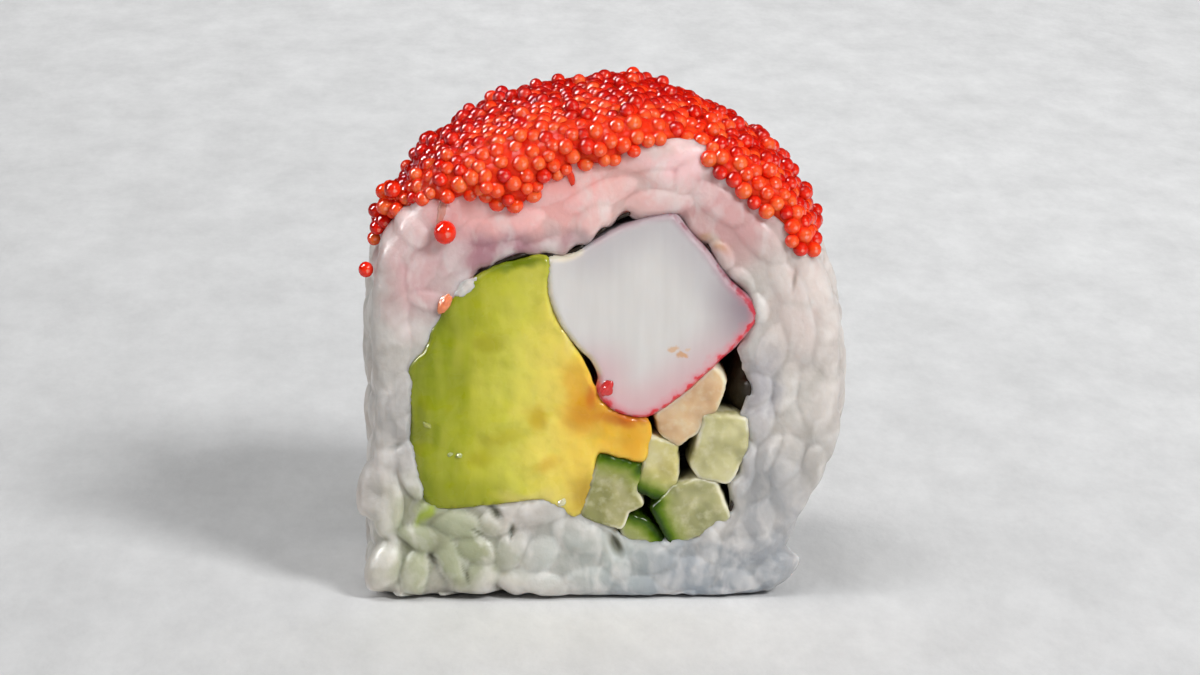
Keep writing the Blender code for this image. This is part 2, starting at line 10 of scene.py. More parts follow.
import bmesh
import bpy
import numpy as np
from mathutils import Euler, Matrix, Vector, noise
from mathutils.geometry import delaunay_2d_cdt


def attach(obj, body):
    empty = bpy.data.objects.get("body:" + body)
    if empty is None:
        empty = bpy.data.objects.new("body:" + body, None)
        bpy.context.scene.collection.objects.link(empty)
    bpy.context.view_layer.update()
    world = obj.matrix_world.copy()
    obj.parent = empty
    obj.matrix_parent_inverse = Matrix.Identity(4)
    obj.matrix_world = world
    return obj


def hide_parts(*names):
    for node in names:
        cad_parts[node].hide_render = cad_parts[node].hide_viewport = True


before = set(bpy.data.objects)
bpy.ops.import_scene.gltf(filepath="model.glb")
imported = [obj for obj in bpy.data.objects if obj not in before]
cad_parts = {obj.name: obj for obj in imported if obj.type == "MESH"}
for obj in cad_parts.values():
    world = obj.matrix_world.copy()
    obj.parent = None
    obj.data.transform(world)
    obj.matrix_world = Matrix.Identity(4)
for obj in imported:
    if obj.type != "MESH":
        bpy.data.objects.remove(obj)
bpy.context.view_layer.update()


# The ring of rice
# Boiled short-grain rice, dressed with vinegar and pressed by hand into a sheet on the outside of the
# roll. Its own starch glues the grains, and the knife has smeared and flattened those that it met.

MM = 0.001
SLICE_DEPTH = 24.0
# How round the rice is at the cuts' outer and inner edges, and how far its side bulges half-way back
CUT_EDGE, INNER_EDGE, WALL_BULGE = 1.5, 0.5, 0.8
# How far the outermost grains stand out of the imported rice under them
GRAIN_PROUD = 0.7
# How many points an outline is made of
DENSE = 600
TUNNEL_CENTRE = np.array([-1.5, 19.0])

# The roll's outer line on the cut face, up the left side and over the top. The board cuts it off flat.
ROLL_OUTLINE = [
    (-17.5, -2.2), (-19.8, -0.8), (-20.6, 1.4), (-20.6, 5.0), (-20.5, 11.0), (-20.6, 18.0),
    (-20.7, 24.0), (-20.6, 28.6), (-20.2, 31.3), (-19.1, 33.5), (-17.3, 35.6), (-14.9, 37.7),
    (-11.0, 39.7), (-6.3, 41.2), (-1.0, 42.1), (2.9, 42.4), (7.2, 41.3), (11.1, 39.5),
    (14.2, 37.4), (16.5, 35.1), (18.3, 32.2), (19.8, 28.8), (20.9, 24.5), (21.3, 19.5),
    (20.9, 14.8), (19.8, 11.2), (18.1, 8.0), (16.6, 5.0), (16.0, 2.4), (15.1, 0.2), (13.0, -1.6),
    (8.0, -2.2), (-3.0, -2.2), (-10.0, -2.2),
]
# The line that the sheet of seaweed follows round the filling
TUNNEL_OUTLINE = [
    (-16.0, 8.8), (-16.8, 11.9), (-17.2, 16.0), (-17.1, 19.5), (-16.2, 22.8), (-14.7, 25.9),
    (-12.6, 28.4), (-10.0, 30.2), (-7.3, 31.2), (-4.6, 31.1), (-2.0, 31.9), (0.0, 33.4),
    (2.1, 34.7), (5.9, 35.0), (7.6, 33.5), (9.3, 31.6), (11.1, 29.4), (13.2, 26.8), (13.4, 25.0),
    (12.7, 22.5), (12.8, 17.5), (12.7, 13.0), (11.6, 10.0), (10.8, 7.3), (8.6, 5.6), (5.0, 4.4),
    (2.3, 4.5), (0.6, 6.1), (-1.8, 7.2), (-4.5, 8.6), (-7.5, 8.9), (-11.0, 8.5), (-14.6, 8.1),
]

# The far end of the left shoulder has slumped, as seen over the top: how far, where and how wide in degrees
SLUMP, SLUMP_ANGLE, SLUMP_SPREAD = 2.0, 136.0, 20.0


def smooth_loop(points, count=DENSE):
    """A closed curve through those points, as count points evenly along it, running clockwise."""
    points = np.array(points, float)
    share = np.linspace(0, 1, 24, endpoint=False)[:, None]
    spans = []
    for i in range(len(points)):
        a, b, c, d = (points[(i + k) % len(points)] for k in (-1, 0, 1, 2))
        spans.append(
            0.5 * (2 * b + (c - a) * share + (2 * a - 5 * b + 4 * c - d) * share**2
                   + (3 * b - a - 3 * c + d) * share**3)
        )
    return evenly(np.concatenate(spans), count)


def evenly(loop, count):
    """The closed loop as count points at even steps along it, running clockwise."""
    after = np.roll(loop, -1, axis=0)
    if (loop[:, 0] * after[:, 1] - loop[:, 1] * after[:, 0]).sum() > 0:
        loop = loop[::-1]
    closed = np.vstack([loop, loop[:1]])
    along = np.concatenate([[0], np.cumsum(np.linalg.norm(np.diff(closed, axis=0), axis=1))])
    at = np.linspace(0, along[-1], count, endpoint=False)
    return np.stack([np.interp(at, along, closed[:, k]) for k in range(2)], axis=1)


def outward(loop):
    """The unit normals of a clockwise loop."""
    run = np.roll(loop, -1, axis=0) - np.roll(loop, 1, axis=0)
    normals = np.stack([-run[:, 1], run[:, 0]], axis=1)
    return normals / np.linalg.norm(normals, axis=1, keepdims=True)


def at_depth(plane, y):
    """Points of the cut's plane, x and z, set at the depth y."""
    return np.stack([plane[:, 0], np.full(len(plane), y), plane[:, 1]], axis=1)


def angle_of(points):
    """The angle of each point round the tunnel's centre."""
    offset = points - TUNNEL_CENTRE
    return np.arctan2(offset[:, 1], offset[:, 0])


def ray_loop(loop, angles):
    """Where rays from the tunnel's centre at those angles meet the loop."""
    turn = angle_of(loop)
    order = np.argsort(turn)
    radius = np.linalg.norm(loop - TUNNEL_CENTRE, axis=1)[order]
    radius = np.interp(angles, turn[order], radius, period=2 * math.pi)
    return TUNNEL_CENTRE + np.stack([np.cos(angles), np.sin(angles)], axis=1) * radius[:, None]


CORE_HALF = SLICE_DEPTH / 2 - GRAIN_PROUD
CORNER_LENGTH = CUT_EDGE * math.pi / 2
SKIN_LENGTH = 2 * (CORNER_LENGTH + CORE_HALF - CUT_EDGE)
ROLL_LOOP = smooth_loop(ROLL_OUTLINE)
CORE_LOOP = ROLL_LOOP - outward(ROLL_LOOP) * GRAIN_PROUD
# The normals are evened out over some 6 mm, so that the rounding does not fold at the bottom corners
CORE_NORMALS = sum(np.roll(outward(CORE_LOOP), step, axis=0) for step in range(-12, 13))
CORE_NORMALS /= np.linalg.norm(CORE_NORMALS, axis=1, keepdims=True)
TUNNEL_LOOP = smooth_loop(TUNNEL_OUTLINE)
# How much wider than that line the rice's own tunnel is
SEAWEED_ROOM = 0.3
TUNNEL_LOOP = evenly(TUNNEL_LOOP + outward(TUNNEL_LOOP) * SEAWEED_ROOM, DENSE)


def on_skin(index, across, lift=0.0):
    """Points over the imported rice's skin and their normals.

    index runs along the outline. across is 0 where the front cut's flat ends and SKIN_LENGTH where the
    back cut's begins. Below 0 it runs down the front face.
    """
    index, across, lift = np.broadcast_arrays(np.asarray(index, float), across, lift)
    from_cut = np.minimum(across, SKIN_LENGTH - across)
    turn = np.clip(from_cut / CUT_EDGE, 0, math.pi / 2)
    on_wall = np.clip((across - CORNER_LENGTH) / (SKIN_LENGTH - 2 * CORNER_LENGTH), 0, 1)
    inset = CUT_EDGE * (1 - np.sin(turn)) - np.minimum(from_cut, 0)
    inset = inset - WALL_BULGE * np.sin(math.pi * on_wall)
    depth = CORE_HALF - CUT_EDGE * (1 - np.cos(turn)) - np.maximum(from_cut - CORNER_LENGTH, 0)
    y = np.where(across < SKIN_LENGTH / 2, -depth, depth)
    known = np.arange(DENSE + 1)
    place = [np.interp(index % DENSE, known, np.append(CORE_LOOP[:, k], CORE_LOOP[0, k])) for k in (0, 1)]
    out = [np.interp(index % DENSE, known, np.append(CORE_NORMALS[:, k], CORE_NORMALS[0, k])) for k in (0, 1)]
    angle = np.degrees(np.arctan2(place[1] - TUNNEL_CENTRE[1], place[0] - TUNNEL_CENTRE[0]))
    slump = SLUMP * (y + CORE_HALF) / (2 * CORE_HALF) * np.exp(-((angle - SLUMP_ANGLE) / SLUMP_SPREAD) ** 2)
    facing = np.cos(turn) * np.where(y < 0, -1, 1)
    normal = np.stack([out[0] * np.sin(turn), facing, out[1] * np.sin(turn)], -1)
    inset = inset + slump
    point = np.stack([place[0] - out[0] * inset, y, place[1] - out[1] * inset], -1)
    return point + normal * lift[..., None], normal


def mesh_piece(name, points, faces):
    """A new object from points in millimetres, with its faces turned outwards and shaded smooth."""
    mesh = bpy.data.meshes.new(name)
    mesh.from_pydata((np.asarray(points) * MM).tolist(), [], faces)
    shape = bmesh.new()
    shape.from_mesh(mesh)
    bmesh.ops.recalc_face_normals(shape, faces=shape.faces)
    shape.to_mesh(mesh)
    shape.free()
    mesh.shade_smooth()
    piece = bpy.data.objects.new(name, mesh)
    bpy.context.scene.collection.objects.link(piece)
    return piece


def mark(piece, name, values):
    """Keeps one number for each vertex, which the piece's material can read by that name."""
    layer = piece.data.attributes.new(name, "FLOAT", "POINT")
    layer.data.foreach_set("value", np.asarray(values, np.float32).ravel())


def dress(piece, material, slot, *stands_for):
    """Gives the piece its material, hides the nodes that it stands for, and lets it ride. The slot is not
    used.
    """
    piece.data.materials.clear()
    piece.data.materials.append(material)
    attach(piece, "root")
    if stands_for:
        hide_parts(*stands_for)


def unevenness(points, size, seed, octaves=2):
    """Smooth noise between about -1 and 1 at points in millimetres, with lumps of that size."""
    shift = Vector((seed * 7.3, seed * 3.1, seed * 5.7))
    flat = np.asarray(points, float).reshape(-1, 3) / size
    values = [noise.fractal(Vector(p) + shift, 0.6, 2.0, octaves) for p in flat]
    return np.array(values).reshape(np.asarray(points).shape[:-1])


# The grid that the ring's surface is made of: steps round the ring, and rows across each of its sides
AROUND = 600
FRONT_ROWS, BACK_ROWS, EDGE_ROWS, SKIN_ROWS = 36, 22, 4, 66
# How deep under a cut the rows of the tunnel's wall lie, from the cut inwards
TUNNEL_DEPTHS = [0.25, 0.5, 0.8, 1.1, 1.4, 1.8, 3.0, 6.0]

# The knife smeared the rice over the edge of the seaweed: how far over, and how deep the smear goes
SMEAR_OVER, SMEAR_DEEP = 0.95, 1.3
# It left some spots bare, and at the back cut half as bare: x, z, reach and how bare
BARE_SPOTS = [
    (13.0, 18.8, 2.0, 0.9), (13.2, 14.0, 1.3, 0.7), (12.2, 11.2, 1.0, 0.8), (11.4, 8.0, 1.1, 0.9),
    (8.3, 5.5, 0.8, 0.6), (1.7, 5.7, 0.7, 0.8), (-8.0, 31.3, 2.0, 1.0), (-5.2, 31.3, 1.2, 1.05),
    (1.8, 34.6, 1.1, 1.1), (6.8, 34.6, 1.0, 0.7), (9.4, 32.0, 1.5, 0.75), (12.4, 28.2, 1.6, 0.75),
    (-9.2, 8.8, 1.6, 0.55), (-17.0, 15.6, 1.2, 0.6), (-16.9, 18.8, 1.0, 0.5), (-10.9, 29.7, 1.3, 1.15),
    (-9.2, 30.6, 1.0, 1.1), (-2.6, 32.0, 1.3, 1.1), (-0.4, 33.4, 1.1, 1.05),
    (-16.8, 21.2, 0.9, 0.8),
]


def smeared(line, side):
    """How far the rice lies in over the seaweed's edge at each point of the tunnel's line."""
    at = at_depth(line, side * 8.0)
    over = SMEAR_OVER * (1 + 0.22 * unevenness(at, 1.1, 4) + 0.12 * unevenness(at, 3.0, 5))
    for x, z, reach, bare in BARE_SPOTS:
        near = np.exp(-((line[:, 0] - x) ** 2 + (line[:, 1] - z) ** 2) / reach**2)
        over *= np.maximum(1 - bare * near * (1 if side < 0 else 0.5), -0.3)
    return over


def rice_grid():
    """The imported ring's points and normals, as rows round its cross-section and columns round it.

    It also gives, for each point, whether the grains stand out there in full.
    """
    index = np.linspace(0, DENSE, AROUND, endpoint=False)
    flat_end, _ = on_skin(index, 0.0)
    tunnel = ray_loop(TUNNEL_LOOP, angle_of(flat_end[:, [0, 2]]))
    inward = TUNNEL_CENTRE - tunnel
    inward /= np.linalg.norm(inward, axis=1, keepdims=True)
    points, normals, full = [], [], []

    def add(plane, y, normal, share):
        points.append(at_depth(plane, y))
        normals.append(np.broadcast_to(normal, (AROUND, 3)))
        full.append(share)

    def face(side, rows):
        over = smeared(tunnel, side)
        ridge = tunnel + inward * (over - INNER_EDGE)[:, None]
        made = []
        for k in range(EDGE_ROWS):
            turn = k / EDGE_ROWS * math.pi / 2
            plane = ridge + inward * INNER_EDGE * math.cos(turn)
            y = side * (CORE_HALF - INNER_EDGE * (1 - math.sin(turn)))
            normal = at_depth(inward * math.cos(turn), side * math.sin(turn))
            made.append((plane, y, normal, 0.3 + 0.7 * k / EDGE_ROWS))
        rim, _ = on_skin(index, 0.0 if side < 0 else SKIN_LENGTH)
        for k in range(rows):
            plane = ridge + (rim[:, [0, 2]] - ridge) * k / rows
            made.append((plane, side * CORE_HALF, np.array([0.0, side, 0.0]), 1.0))
        return made

    def wall(side):
        over = smeared(tunnel, side)
        sideways = at_depth(inward, 0.0)
        made = []
        for depth in TUNNEL_DEPTHS:
            y = side * (CORE_HALF - INNER_EDGE - depth)
            left = max(0.0, 1 - (depth / SMEAR_DEEP) ** 2)
            made.append((tunnel + inward * over[:, None] * left, y, sideways, 0.0))
        return made

    for row in face(-1, FRONT_ROWS):
        add(*row)
    for across in np.linspace(0, SKIN_LENGTH, SKIN_ROWS):
        skin, normal = on_skin(index, across)
        points.append(skin)
        normals.append(normal)
        full.append(1.0)
    for row in reversed(face(1, BACK_ROWS)):
        add(*row)
    for row in wall(1):
        add(*row)
    for row in reversed(wall(-1)):
        add(*row)
    return np.array(points), np.array(normals), np.array(full)[:, None]


# Grains that can be told apart on the cut face: x, z, length, width, how they lie in degrees, and how
# far each stands out beyond the rest
SHOWN_GRAINS = [
    (-19.0, 25.0, 11.0, 3.0, 88, 0.10), (-9.0, 36.6, 8.5, 3.0, 20, 0.05), (-3.5, 37.5, 7.0, 2.6, 24, 0.0),
    (-18.0, 18.6, 3.8, 2.3, 85, 0.10), (-17.9, 16.0, 2.7, 2.3, 70, -0.15), (-19.6, 16.2, 4.9, 1.6, 88, 0.0),
    (-17.3, 12.3, 4.9, 2.2, -72, 0.15), (-19.5, 12.5, 5.0, 2.0, 88, -0.05), (-19.2, 8.2, 4.0, 2.7, 80, 0.1),
    (-15.9, 5.6, 4.1, 2.5, -15, 0.10), (-13.4, 7.1, 4.9, 2.7, -20, 0.0), (-11.5, 4.7, 3.4, 2.5, -25, 0.05),
    (-13.8, 3.8, 5.6, 2.5, -60, 0.15), (-19.8, 2.9, 4.0, 3.2, 60, 0.1), (-16.9, 2.4, 3.8, 2.4, 80, 0.0),
    (-11.3, 1.8, 3.6, 3.2, 50, 0.20), (-9.0, 7.4, 3.8, 2.7, 20, 0.05), (-5.7, 8.1, 4.1, 2.2, 10, 0.1),
    (-5.9, 4.2, 3.2, 2.9, 40, 0.0), (-8.3, 4.7, 3.2, 2.7, 60, 0.10), (-2.1, 5.7, 4.7, 2.9, -25, 0.15),
    (-6.4, 1.4, 5.6, 2.7, -8, 0.10), (-1.1, 1.6, 4.9, 2.9, 5, 0.0), (-18.6, 27.3, 5.6, 3.1, 86, 0.1),
    (-18.6, 22.7, 5.8, 3.1, 84, 0.05), (-15.8, 30.1, 5.0, 2.3, 50, 0.0), (-10.5, 31.0, 5.6, 2.3, 17, -0.1),
    (-4.4, 31.7, 5.9, 2.0, 12, -0.10), (-1.0, 34.2, 3.4, 2.7, 70, 0.10), (-15.3, 27.1, 3.4, 1.6, -12, 0.05),
    (5.3, 39.8, 7.0, 2.5, 9, 0.20), (4.7, 35.7, 4.7, 2.3, 3, 0.10), (-0.5, 36.4, 5.4, 2.3, 20, 0.0),
    (-8.8, 33.6, 5.8, 2.5, 18, 0.05), (10.1, 31.0, 2.3, 1.8, -50, 0.05), (11.9, 28.6, 2.3, 1.8, -55, 0.05),
    (13.2, 26.3, 2.3, 1.8, -60, 0.05), (13.5, 18.9, 2.7, 2.2, 80, 0.0), (13.7, 16.2, 3.4, 2.2, 80, -0.1),
    (16.0, 12.4, 4.5, 2.7, 75, 0.10), (14.6, 22.4, 4.0, 2.5, 70, 0.10), (14.4, 13.1, 3.1, 2.0, 60, -0.1),
    (17.0, 24.3, 5.4, 3.1, -75, 0.10), (18.4, 18.0, 5.9, 3.2, 85, 0.10), (16.2, 9.0, 4.7, 3.1, 60, 0.1),
    (13.6, 7.2, 4.3, 2.7, 40, 0.05), (12.3, 4.5, 5.0, 3.1, 20, 0.10), (15.9, 2.4, 4.3, 2.9, 10, 0.10),
    (7.4, 2.3, 5.4, 3.1, 5, 0.10), (4.3, 3.7, 4.0, 2.7, -20, 0.10), (3.0, 0.9, 4.7, 2.5, 0, 0.0),
    (9.9, 35.5, 5.4, 2.5, -35, 0.10), (13.4, 32.4, 5.0, 2.5, -45, 0.10), (16.1, 27.9, 4.5, 2.5, -60, 0.0),
]

# Small gaps between grains on the cut face: x, z, half their length and width, slant in degrees, depth
GRAIN_GAPS = [
    (-9.7, 8.0, 0.8, 0.35, -50, 1.5), (-8.3, 6.3, 0.7, 0.22, 85, 1.2), (0.9, 5.0, 1.0, 0.45, -65, 1.7),
    (-15.2, 3.9, 0.8, 0.22, -60, 1.1), (-18.3, 14.2, 0.8, 0.3, 25, 0.7), (-9.4, 0.7, 0.9, 0.3, -60, 1.2),
    (-12.4, 2.6, 1.1, 0.18, -70, 0.9), (-17.6, 5.3, 0.9, 0.18, -40, 0.9), (-11.2, 6.2, 0.9, 0.16, -35, 0.8),
    (16.5, 28.7, 1.0, 0.22, 82, 0.6),
]

# The ends and edges of a grain that shows are sunk in its neighbours, so it is this much longer and wider
SHOWN_LONGER, SHOWN_WIDER = 1.28, 1.05
# One grain stands out of the left side near the foot: its place, its run, its outside, length and width
SIDE_GRAIN = ((-21.1, -9.8, 10.0), (0.35, 0.1, 1.0), (-1, 0, 0), 5.6, 3.0)
# Boiled grains, and how close they lie where they are scattered by chance, along and across themselves
GRAIN_LENGTH, GRAIN_WIDTH, GRAIN_SPREAD = 5.6, 2.5, 0.14
GRAIN_ALONG, GRAIN_ACROSS, GRAIN_TRIES = 0.70, 0.80, 9000
# How far down the cut faces they are scattered, and the height above which the knife has drawn them out
# along the outline, with less turn and more length
FACE_REACH = 9.0
DRAWN_ABOVE, DRAWN_TURN, DRAWN_LONGER = 20.0, 0.4, 1.35
# How deep a grain is sunk by chance, how far it turns along with those about 7 mm round it, how far on its
# own, and how far it tilts
GRAIN_SUNK, TURN_SHARED, TURN_SIZE, TURN_OWN, GRAIN_TILT = 0.35, 2.2, 7.0, 0.5, 0.15


def scattered_grains():
    """Every grain's middle, its own three directions and its half sizes along them."""
    rng = random.Random(7)
    grains = []

    def add(place, run, normal, length, width):
        run, normal = Vector(run).normalized(), Vector(normal)
        side = normal.cross(run).normalized()
        upward = run.cross(side)
        grains.append((np.array(place), np.array([run, side, upward]), np.array([length, width, width]) / 2))

    for x, z, length, width, turn, lift in SHOWN_GRAINS:
        run = (math.cos(math.radians(turn)), rng.uniform(-0.1, 0.1), math.sin(math.radians(turn)))
        y = -(SLICE_DEPTH / 2 - width / 2 + lift)
        add((x, y, z), run, (0, -1, 0), length * SHOWN_LONGER, width * SHOWN_WIDER)
    add(*SIDE_GRAIN)
    for _ in range(GRAIN_TRIES):
        index = rng.uniform(0, DENSE)
        across = rng.uniform(-FACE_REACH, SKIN_LENGTH + FACE_REACH)
        length = GRAIN_LENGTH * (1 + rng.uniform(-GRAIN_SPREAD, GRAIN_SPREAD))
        width = GRAIN_WIDTH * (1 + rng.uniform(-GRAIN_SPREAD, GRAIN_SPREAD))
        place, normal = on_skin(index, across, GRAIN_PROUD - width / 2 - rng.uniform(0.0, GRAIN_SUNK))
        turn = TURN_SHARED * noise.noise(Vector(place) / TURN_SIZE) + rng.uniform(-TURN_OWN, TURN_OWN)
        if across < 0 and place[2] > DRAWN_ABOVE:
            turn, length = turn * DRAWN_TURN, length * DRAWN_LONGER
        step = CORE_LOOP[int(index + 1) % DENSE] - CORE_LOOP[int(index)]
        tangent = Vector((step[0], 0.0, step[1])).normalized()
        run = Matrix.Rotation(turn, 3, Vector(normal)) @ tangent
        offset = place - np.array([g[0] for g in grains])
        along = offset @ np.array(run)
        beside = np.sqrt(np.maximum(np.sum(offset**2, axis=1) - along**2, 0))
        if ((along / (GRAIN_ALONG * length)) ** 2 + (beside / (GRAIN_ACROSS * width)) ** 2 < 1).any():
            continue
        add(place, run + Vector(normal) * rng.uniform(-GRAIN_TILT, GRAIN_TILT), normal, length, width)
    return grains


# How far beyond a grain's half length its surface is looked for, and the depth that stands for no grain
GRAIN_REACH, NO_GRAIN = 2.5, -9.0


def over_grains(points, normals, grains):
    """How far out each point's normal leaves the outermost grain and the next, and which is outermost."""
    best = np.full(len(points), NO_GRAIN)
    second = np.full(len(points), NO_GRAIN)
    winner = np.full(len(points), -1)
    for number, (centre, axes, half) in enumerate(grains):
        near = np.where(np.sum((points - centre) ** 2, axis=1) < (half[0] + GRAIN_REACH) ** 2)[0]
        start = (points[near] - centre) @ axes.T / half
        run = normals[near] @ axes.T / half
        a = np.sum(run * run, axis=1)
        b = np.sum(start * run, axis=1)
        c = np.sum(start * start, axis=1) - 1
        inside = b * b - a * c
        exits = np.where(inside > 0, (-b + np.sqrt(np.maximum(inside, 0))) / a, NO_GRAIN)
        ahead = exits > best[near]
        second[near] = np.where(ahead, best[near], np.maximum(second[near], exits))
        winner[near] = np.where(ahead, number, winner[near])
        best[near] = np.maximum(best[near], exits)
    return best, second, winner


# How high the smeared starch fills the creases, how deep a crease goes, and the plane that the knife left
SMEAR_LEVEL, CREASE_FLOOR, KNIFE_LEVEL = 0.58, -0.25, 0.68
# The share by which the grains' tops stand above the knife's plane, and how softly grains fuse
KNIFE_GIVE, FUSED = 0.35, 0.13
# How far the whole surface waves, and how much lower than a grain the next one lies where their crease ends
RICE_WAVE, CREASE_WIDE = 0.08, 0.5
# How the soft foot settles on the board: how far it lies clear between grains, how soft the change is, and
# how round its edge stays
FOOT_LIFT, FOOT_SOFT, FOOT_ROUND = 0.9, 0.22, 1.1
# Half the width and depth within which it lies flat, and of the whole foot, whose edge is drawn in
FOOT_FLAT, FOOT_HALF = (18.0, 11.0), (20.0, 12.0)
# How much that edge is drawn in for each millimetre that the board presses flat, which counts from so far
# over the board and up to so much
FOOT_INSET, PRESSED_OVER, PRESSED_MOST = 1.5, 0.2, 2.0

# How boldly the grains stand out on the cut face, where the knife smeared most of them: x, z and share
BOLD_PLACES = [
    (-16.5, 4.0, 0.75), (-8.0, 4.5, 0.48), (0.0, 3.0, 0.30), (7.0, 1.0, 0.26), (14.0, 3.0, 0.26),
    (-19.0, 14.0, 0.45), (16.0, 12.0, 0.28), (17.0, 24.0, 0.24), (11.0, 36.0, 0.26), (0.0, 38.0, 0.30),
    (-10.0, 35.0, 0.26), (-17.5, 27.0, 0.24), (13.2, 18.0, 0.42), (-17.0, 33.0, 0.12),
]
BOLD_REACH, BOLD_SIDES = 5.0, 0.72
# How far in front of the middle the cut face goes over to the sides, and over how much
FACE_Y, FACE_FADE = 11.5, 2.5


def boldness(points):
    """How boldly the grains stand out at each point."""
    x, z = points[..., 0], points[..., 2]
    weights = [np.exp(-((x - px) ** 2 + (z - pz) ** 2) / BOLD_REACH**2) + 1e-6 for px, pz, _ in BOLD_PLACES]
    bold = sum(w * place[2] for w, place in zip(weights, BOLD_PLACES)) / sum(weights)
    behind = np.clip((points[..., 1] + FACE_Y) / FACE_FADE, 0, 1)
    return bold * (1 - behind) + BOLD_SIDES * behind


def softened(field, times=1):
    """Each value of the grid evened out a little with its four neighbours, that many times."""
    for _ in range(times):
        field = 0.5 * field + 0.125 * sum(np.roll(field, step, axis) for step in (-1, 1) for axis in (0, 1))
    return field


def gaps_between(points):
    """How deep the small gaps between grains are at each point of the cut face."""
    hollow = np.zeros(points.shape[:2])
    on_face = points[..., 1] < -CORE_HALF + 0.3
    for x, z, half_length, half_width, slant, deep in GRAIN_GAPS:
        turn = math.radians(slant)
        right, up = points[..., 0] - x, points[..., 2] - z
        along = (right * math.cos(turn) + up * math.sin(turn)) / half_length
        beside = (up * math.cos(turn) - right * math.sin(turn)) / half_width
        pit = np.where(on_face, 0.6 * deep * np.exp(-along**2 - beside**2), 0)
        hollow = np.maximum(hollow, pit)
    return hollow


def settled(packed, grained, crease):
    """The grained surface with its foot pressed flat by the board, but for creases near its edges."""
    sideways = np.minimum(np.abs(packed[..., 0]) / FOOT_FLAT[0], 1) ** 4
    endways = np.minimum(np.abs(packed[..., 1]) / FOOT_FLAT[1], 1) ** 6
    uneven = 0.5 * crease + 0.6 * np.clip(unevenness(packed * [1, 1, 0], 2.6, 8), 0, None)
    level = FOOT_LIFT * softened(uneven, 5) * np.minimum(sideways + endways, 1)
    height = level + FOOT_SOFT * np.logaddexp(0, (grained[..., 2] - level) / FOOT_SOFT)
    low = np.clip(1 - (height - level) / FOOT_ROUND, 0, 1)
    pressed = softened(np.clip(level + PRESSED_OVER - grained[..., 2], 0, PRESSED_MOST), 3)
    inset = FOOT_ROUND * (1 - np.sqrt(1 - low**2)) + FOOT_INSET * pressed
    x, y = (grained[..., k] * (1 - inset / FOOT_HALF[k]) for k in (0, 1))
    return np.stack([x, y, height], axis=-1)


def tube_faces(rows, around):
    """The faces of a grid that closes both ways, its last row on its first."""
    return [
        (r * around + k, r * around + (k + 1) % around,
         (r + 1) % rows * around + (k + 1) % around, (r + 1) % rows * around + k)
        for r in range(rows) for k in range(around)
    ]


def make_rice():
    """The ring of rice as one surface of fused grains, cut, smeared and set down."""
    points, normals, full = rice_grid()
    shape = points.shape[:2]
    grains = scattered_grains()
    best, second, winner = over_grains(points.reshape(-1, 3), normals.reshape(-1, 3), grains)
    fused = best + FUSED * np.log1p(np.exp(np.clip((second - best) / FUSED, -40, 0)))
    rise = np.clip(fused.reshape(shape), CREASE_FLOOR, None)
    bold = boldness(points)
    give = KNIFE_GIVE + (1 - KNIFE_GIVE) * bold**2
    sliced = np.minimum(rise, KNIFE_LEVEL + give * (rise - KNIFE_LEVEL))
    rise = np.where(np.abs(normals[..., 1]) > 0.9, sliced, rise)
    rise = SMEAR_LEVEL + (rise - SMEAR_LEVEL) * bold
    rise += RICE_WAVE * unevenness(points, 2.2, 3)
    hollow = gaps_between(points)
    rise = softened(rise * full - hollow)
    crease = softened(np.clip(1 - (best - second) / CREASE_WIDE, 0, 1).reshape(shape) * bold)
    points = settled(points, points + normals * rise[..., None], crease)
    piece = mesh_piece("rice_ring", points.reshape(-1, 3), tube_faces(*shape))
    shades = np.array([random.Random(n).uniform(-1, 1) for n in range(len(grains) + 1)])
    mark(piece, "grain_shade", shades[winner])
    mark(piece, "crease", crease)
    mark(piece, "hollow", hollow)
    return piece


def linear(hex_colour):
    """An sRGB colour such as "D8D0C8" as the linear RGBA that a shader takes."""
    parts = [int(hex_colour[k:k + 2], 16) / 255 for k in (0, 2, 4)]
    return (*(p / 12.92 if p <= 0.04045 else ((p + 0.055) / 1.055) ** 2.4 for p in parts), 1.0)


def node(tree, kind, feeds=None, **settings):
    """Adds a node with its settings, and feeds its sockets with values or with other nodes' outputs."""
    made = tree.nodes.new(kind)
    for name, value in settings.items():
        setattr(made, name, value)
    for socket, value in (feeds or {}).items():
        if isinstance(value, bpy.types.Node):
            value = next(out for out in value.outputs if out.enabled)
        if isinstance(value, bpy.types.NodeSocket):
            tree.links.new(value, made.inputs[socket])
        else:
            made.inputs[socket].default_value = value
    return made


def new_finish(name, **shader_values):
    """A material with one Principled shader set to those values, and its node tree and shader."""
    material = bpy.data.materials.new(name)
    material.use_nodes = True
    tree = material.node_tree
    shader = tree.nodes["Principled BSDF"]
    for socket, value in shader_values.items():
        shader.inputs[socket.replace("_", " ")].default_value = value
    return material, tree, shader


# A colour mix takes its share of the second colour and its two colours at these sockets
MIX_SHARE, MIX_FIRST, MIX_SECOND = 0, 6, 7


def tinted(tree, colour, tint, field, none_at, full_at, strength=1.0, soft=False, blend="MIX"):
    """Lays a tint over a colour, from where the field has the first value up to where it has the second."""
    amount = node(tree, "ShaderNodeMapRange", {"Value": field, 1: none_at, 2: full_at, 4: strength},
                  interpolation_type="SMOOTHSTEP" if soft else "LINEAR")
    return node(tree, "ShaderNodeMix", {MIX_SHARE: amount, MIX_FIRST: colour, MIX_SECOND: tint},
                data_type="RGBA", blend_type=blend)


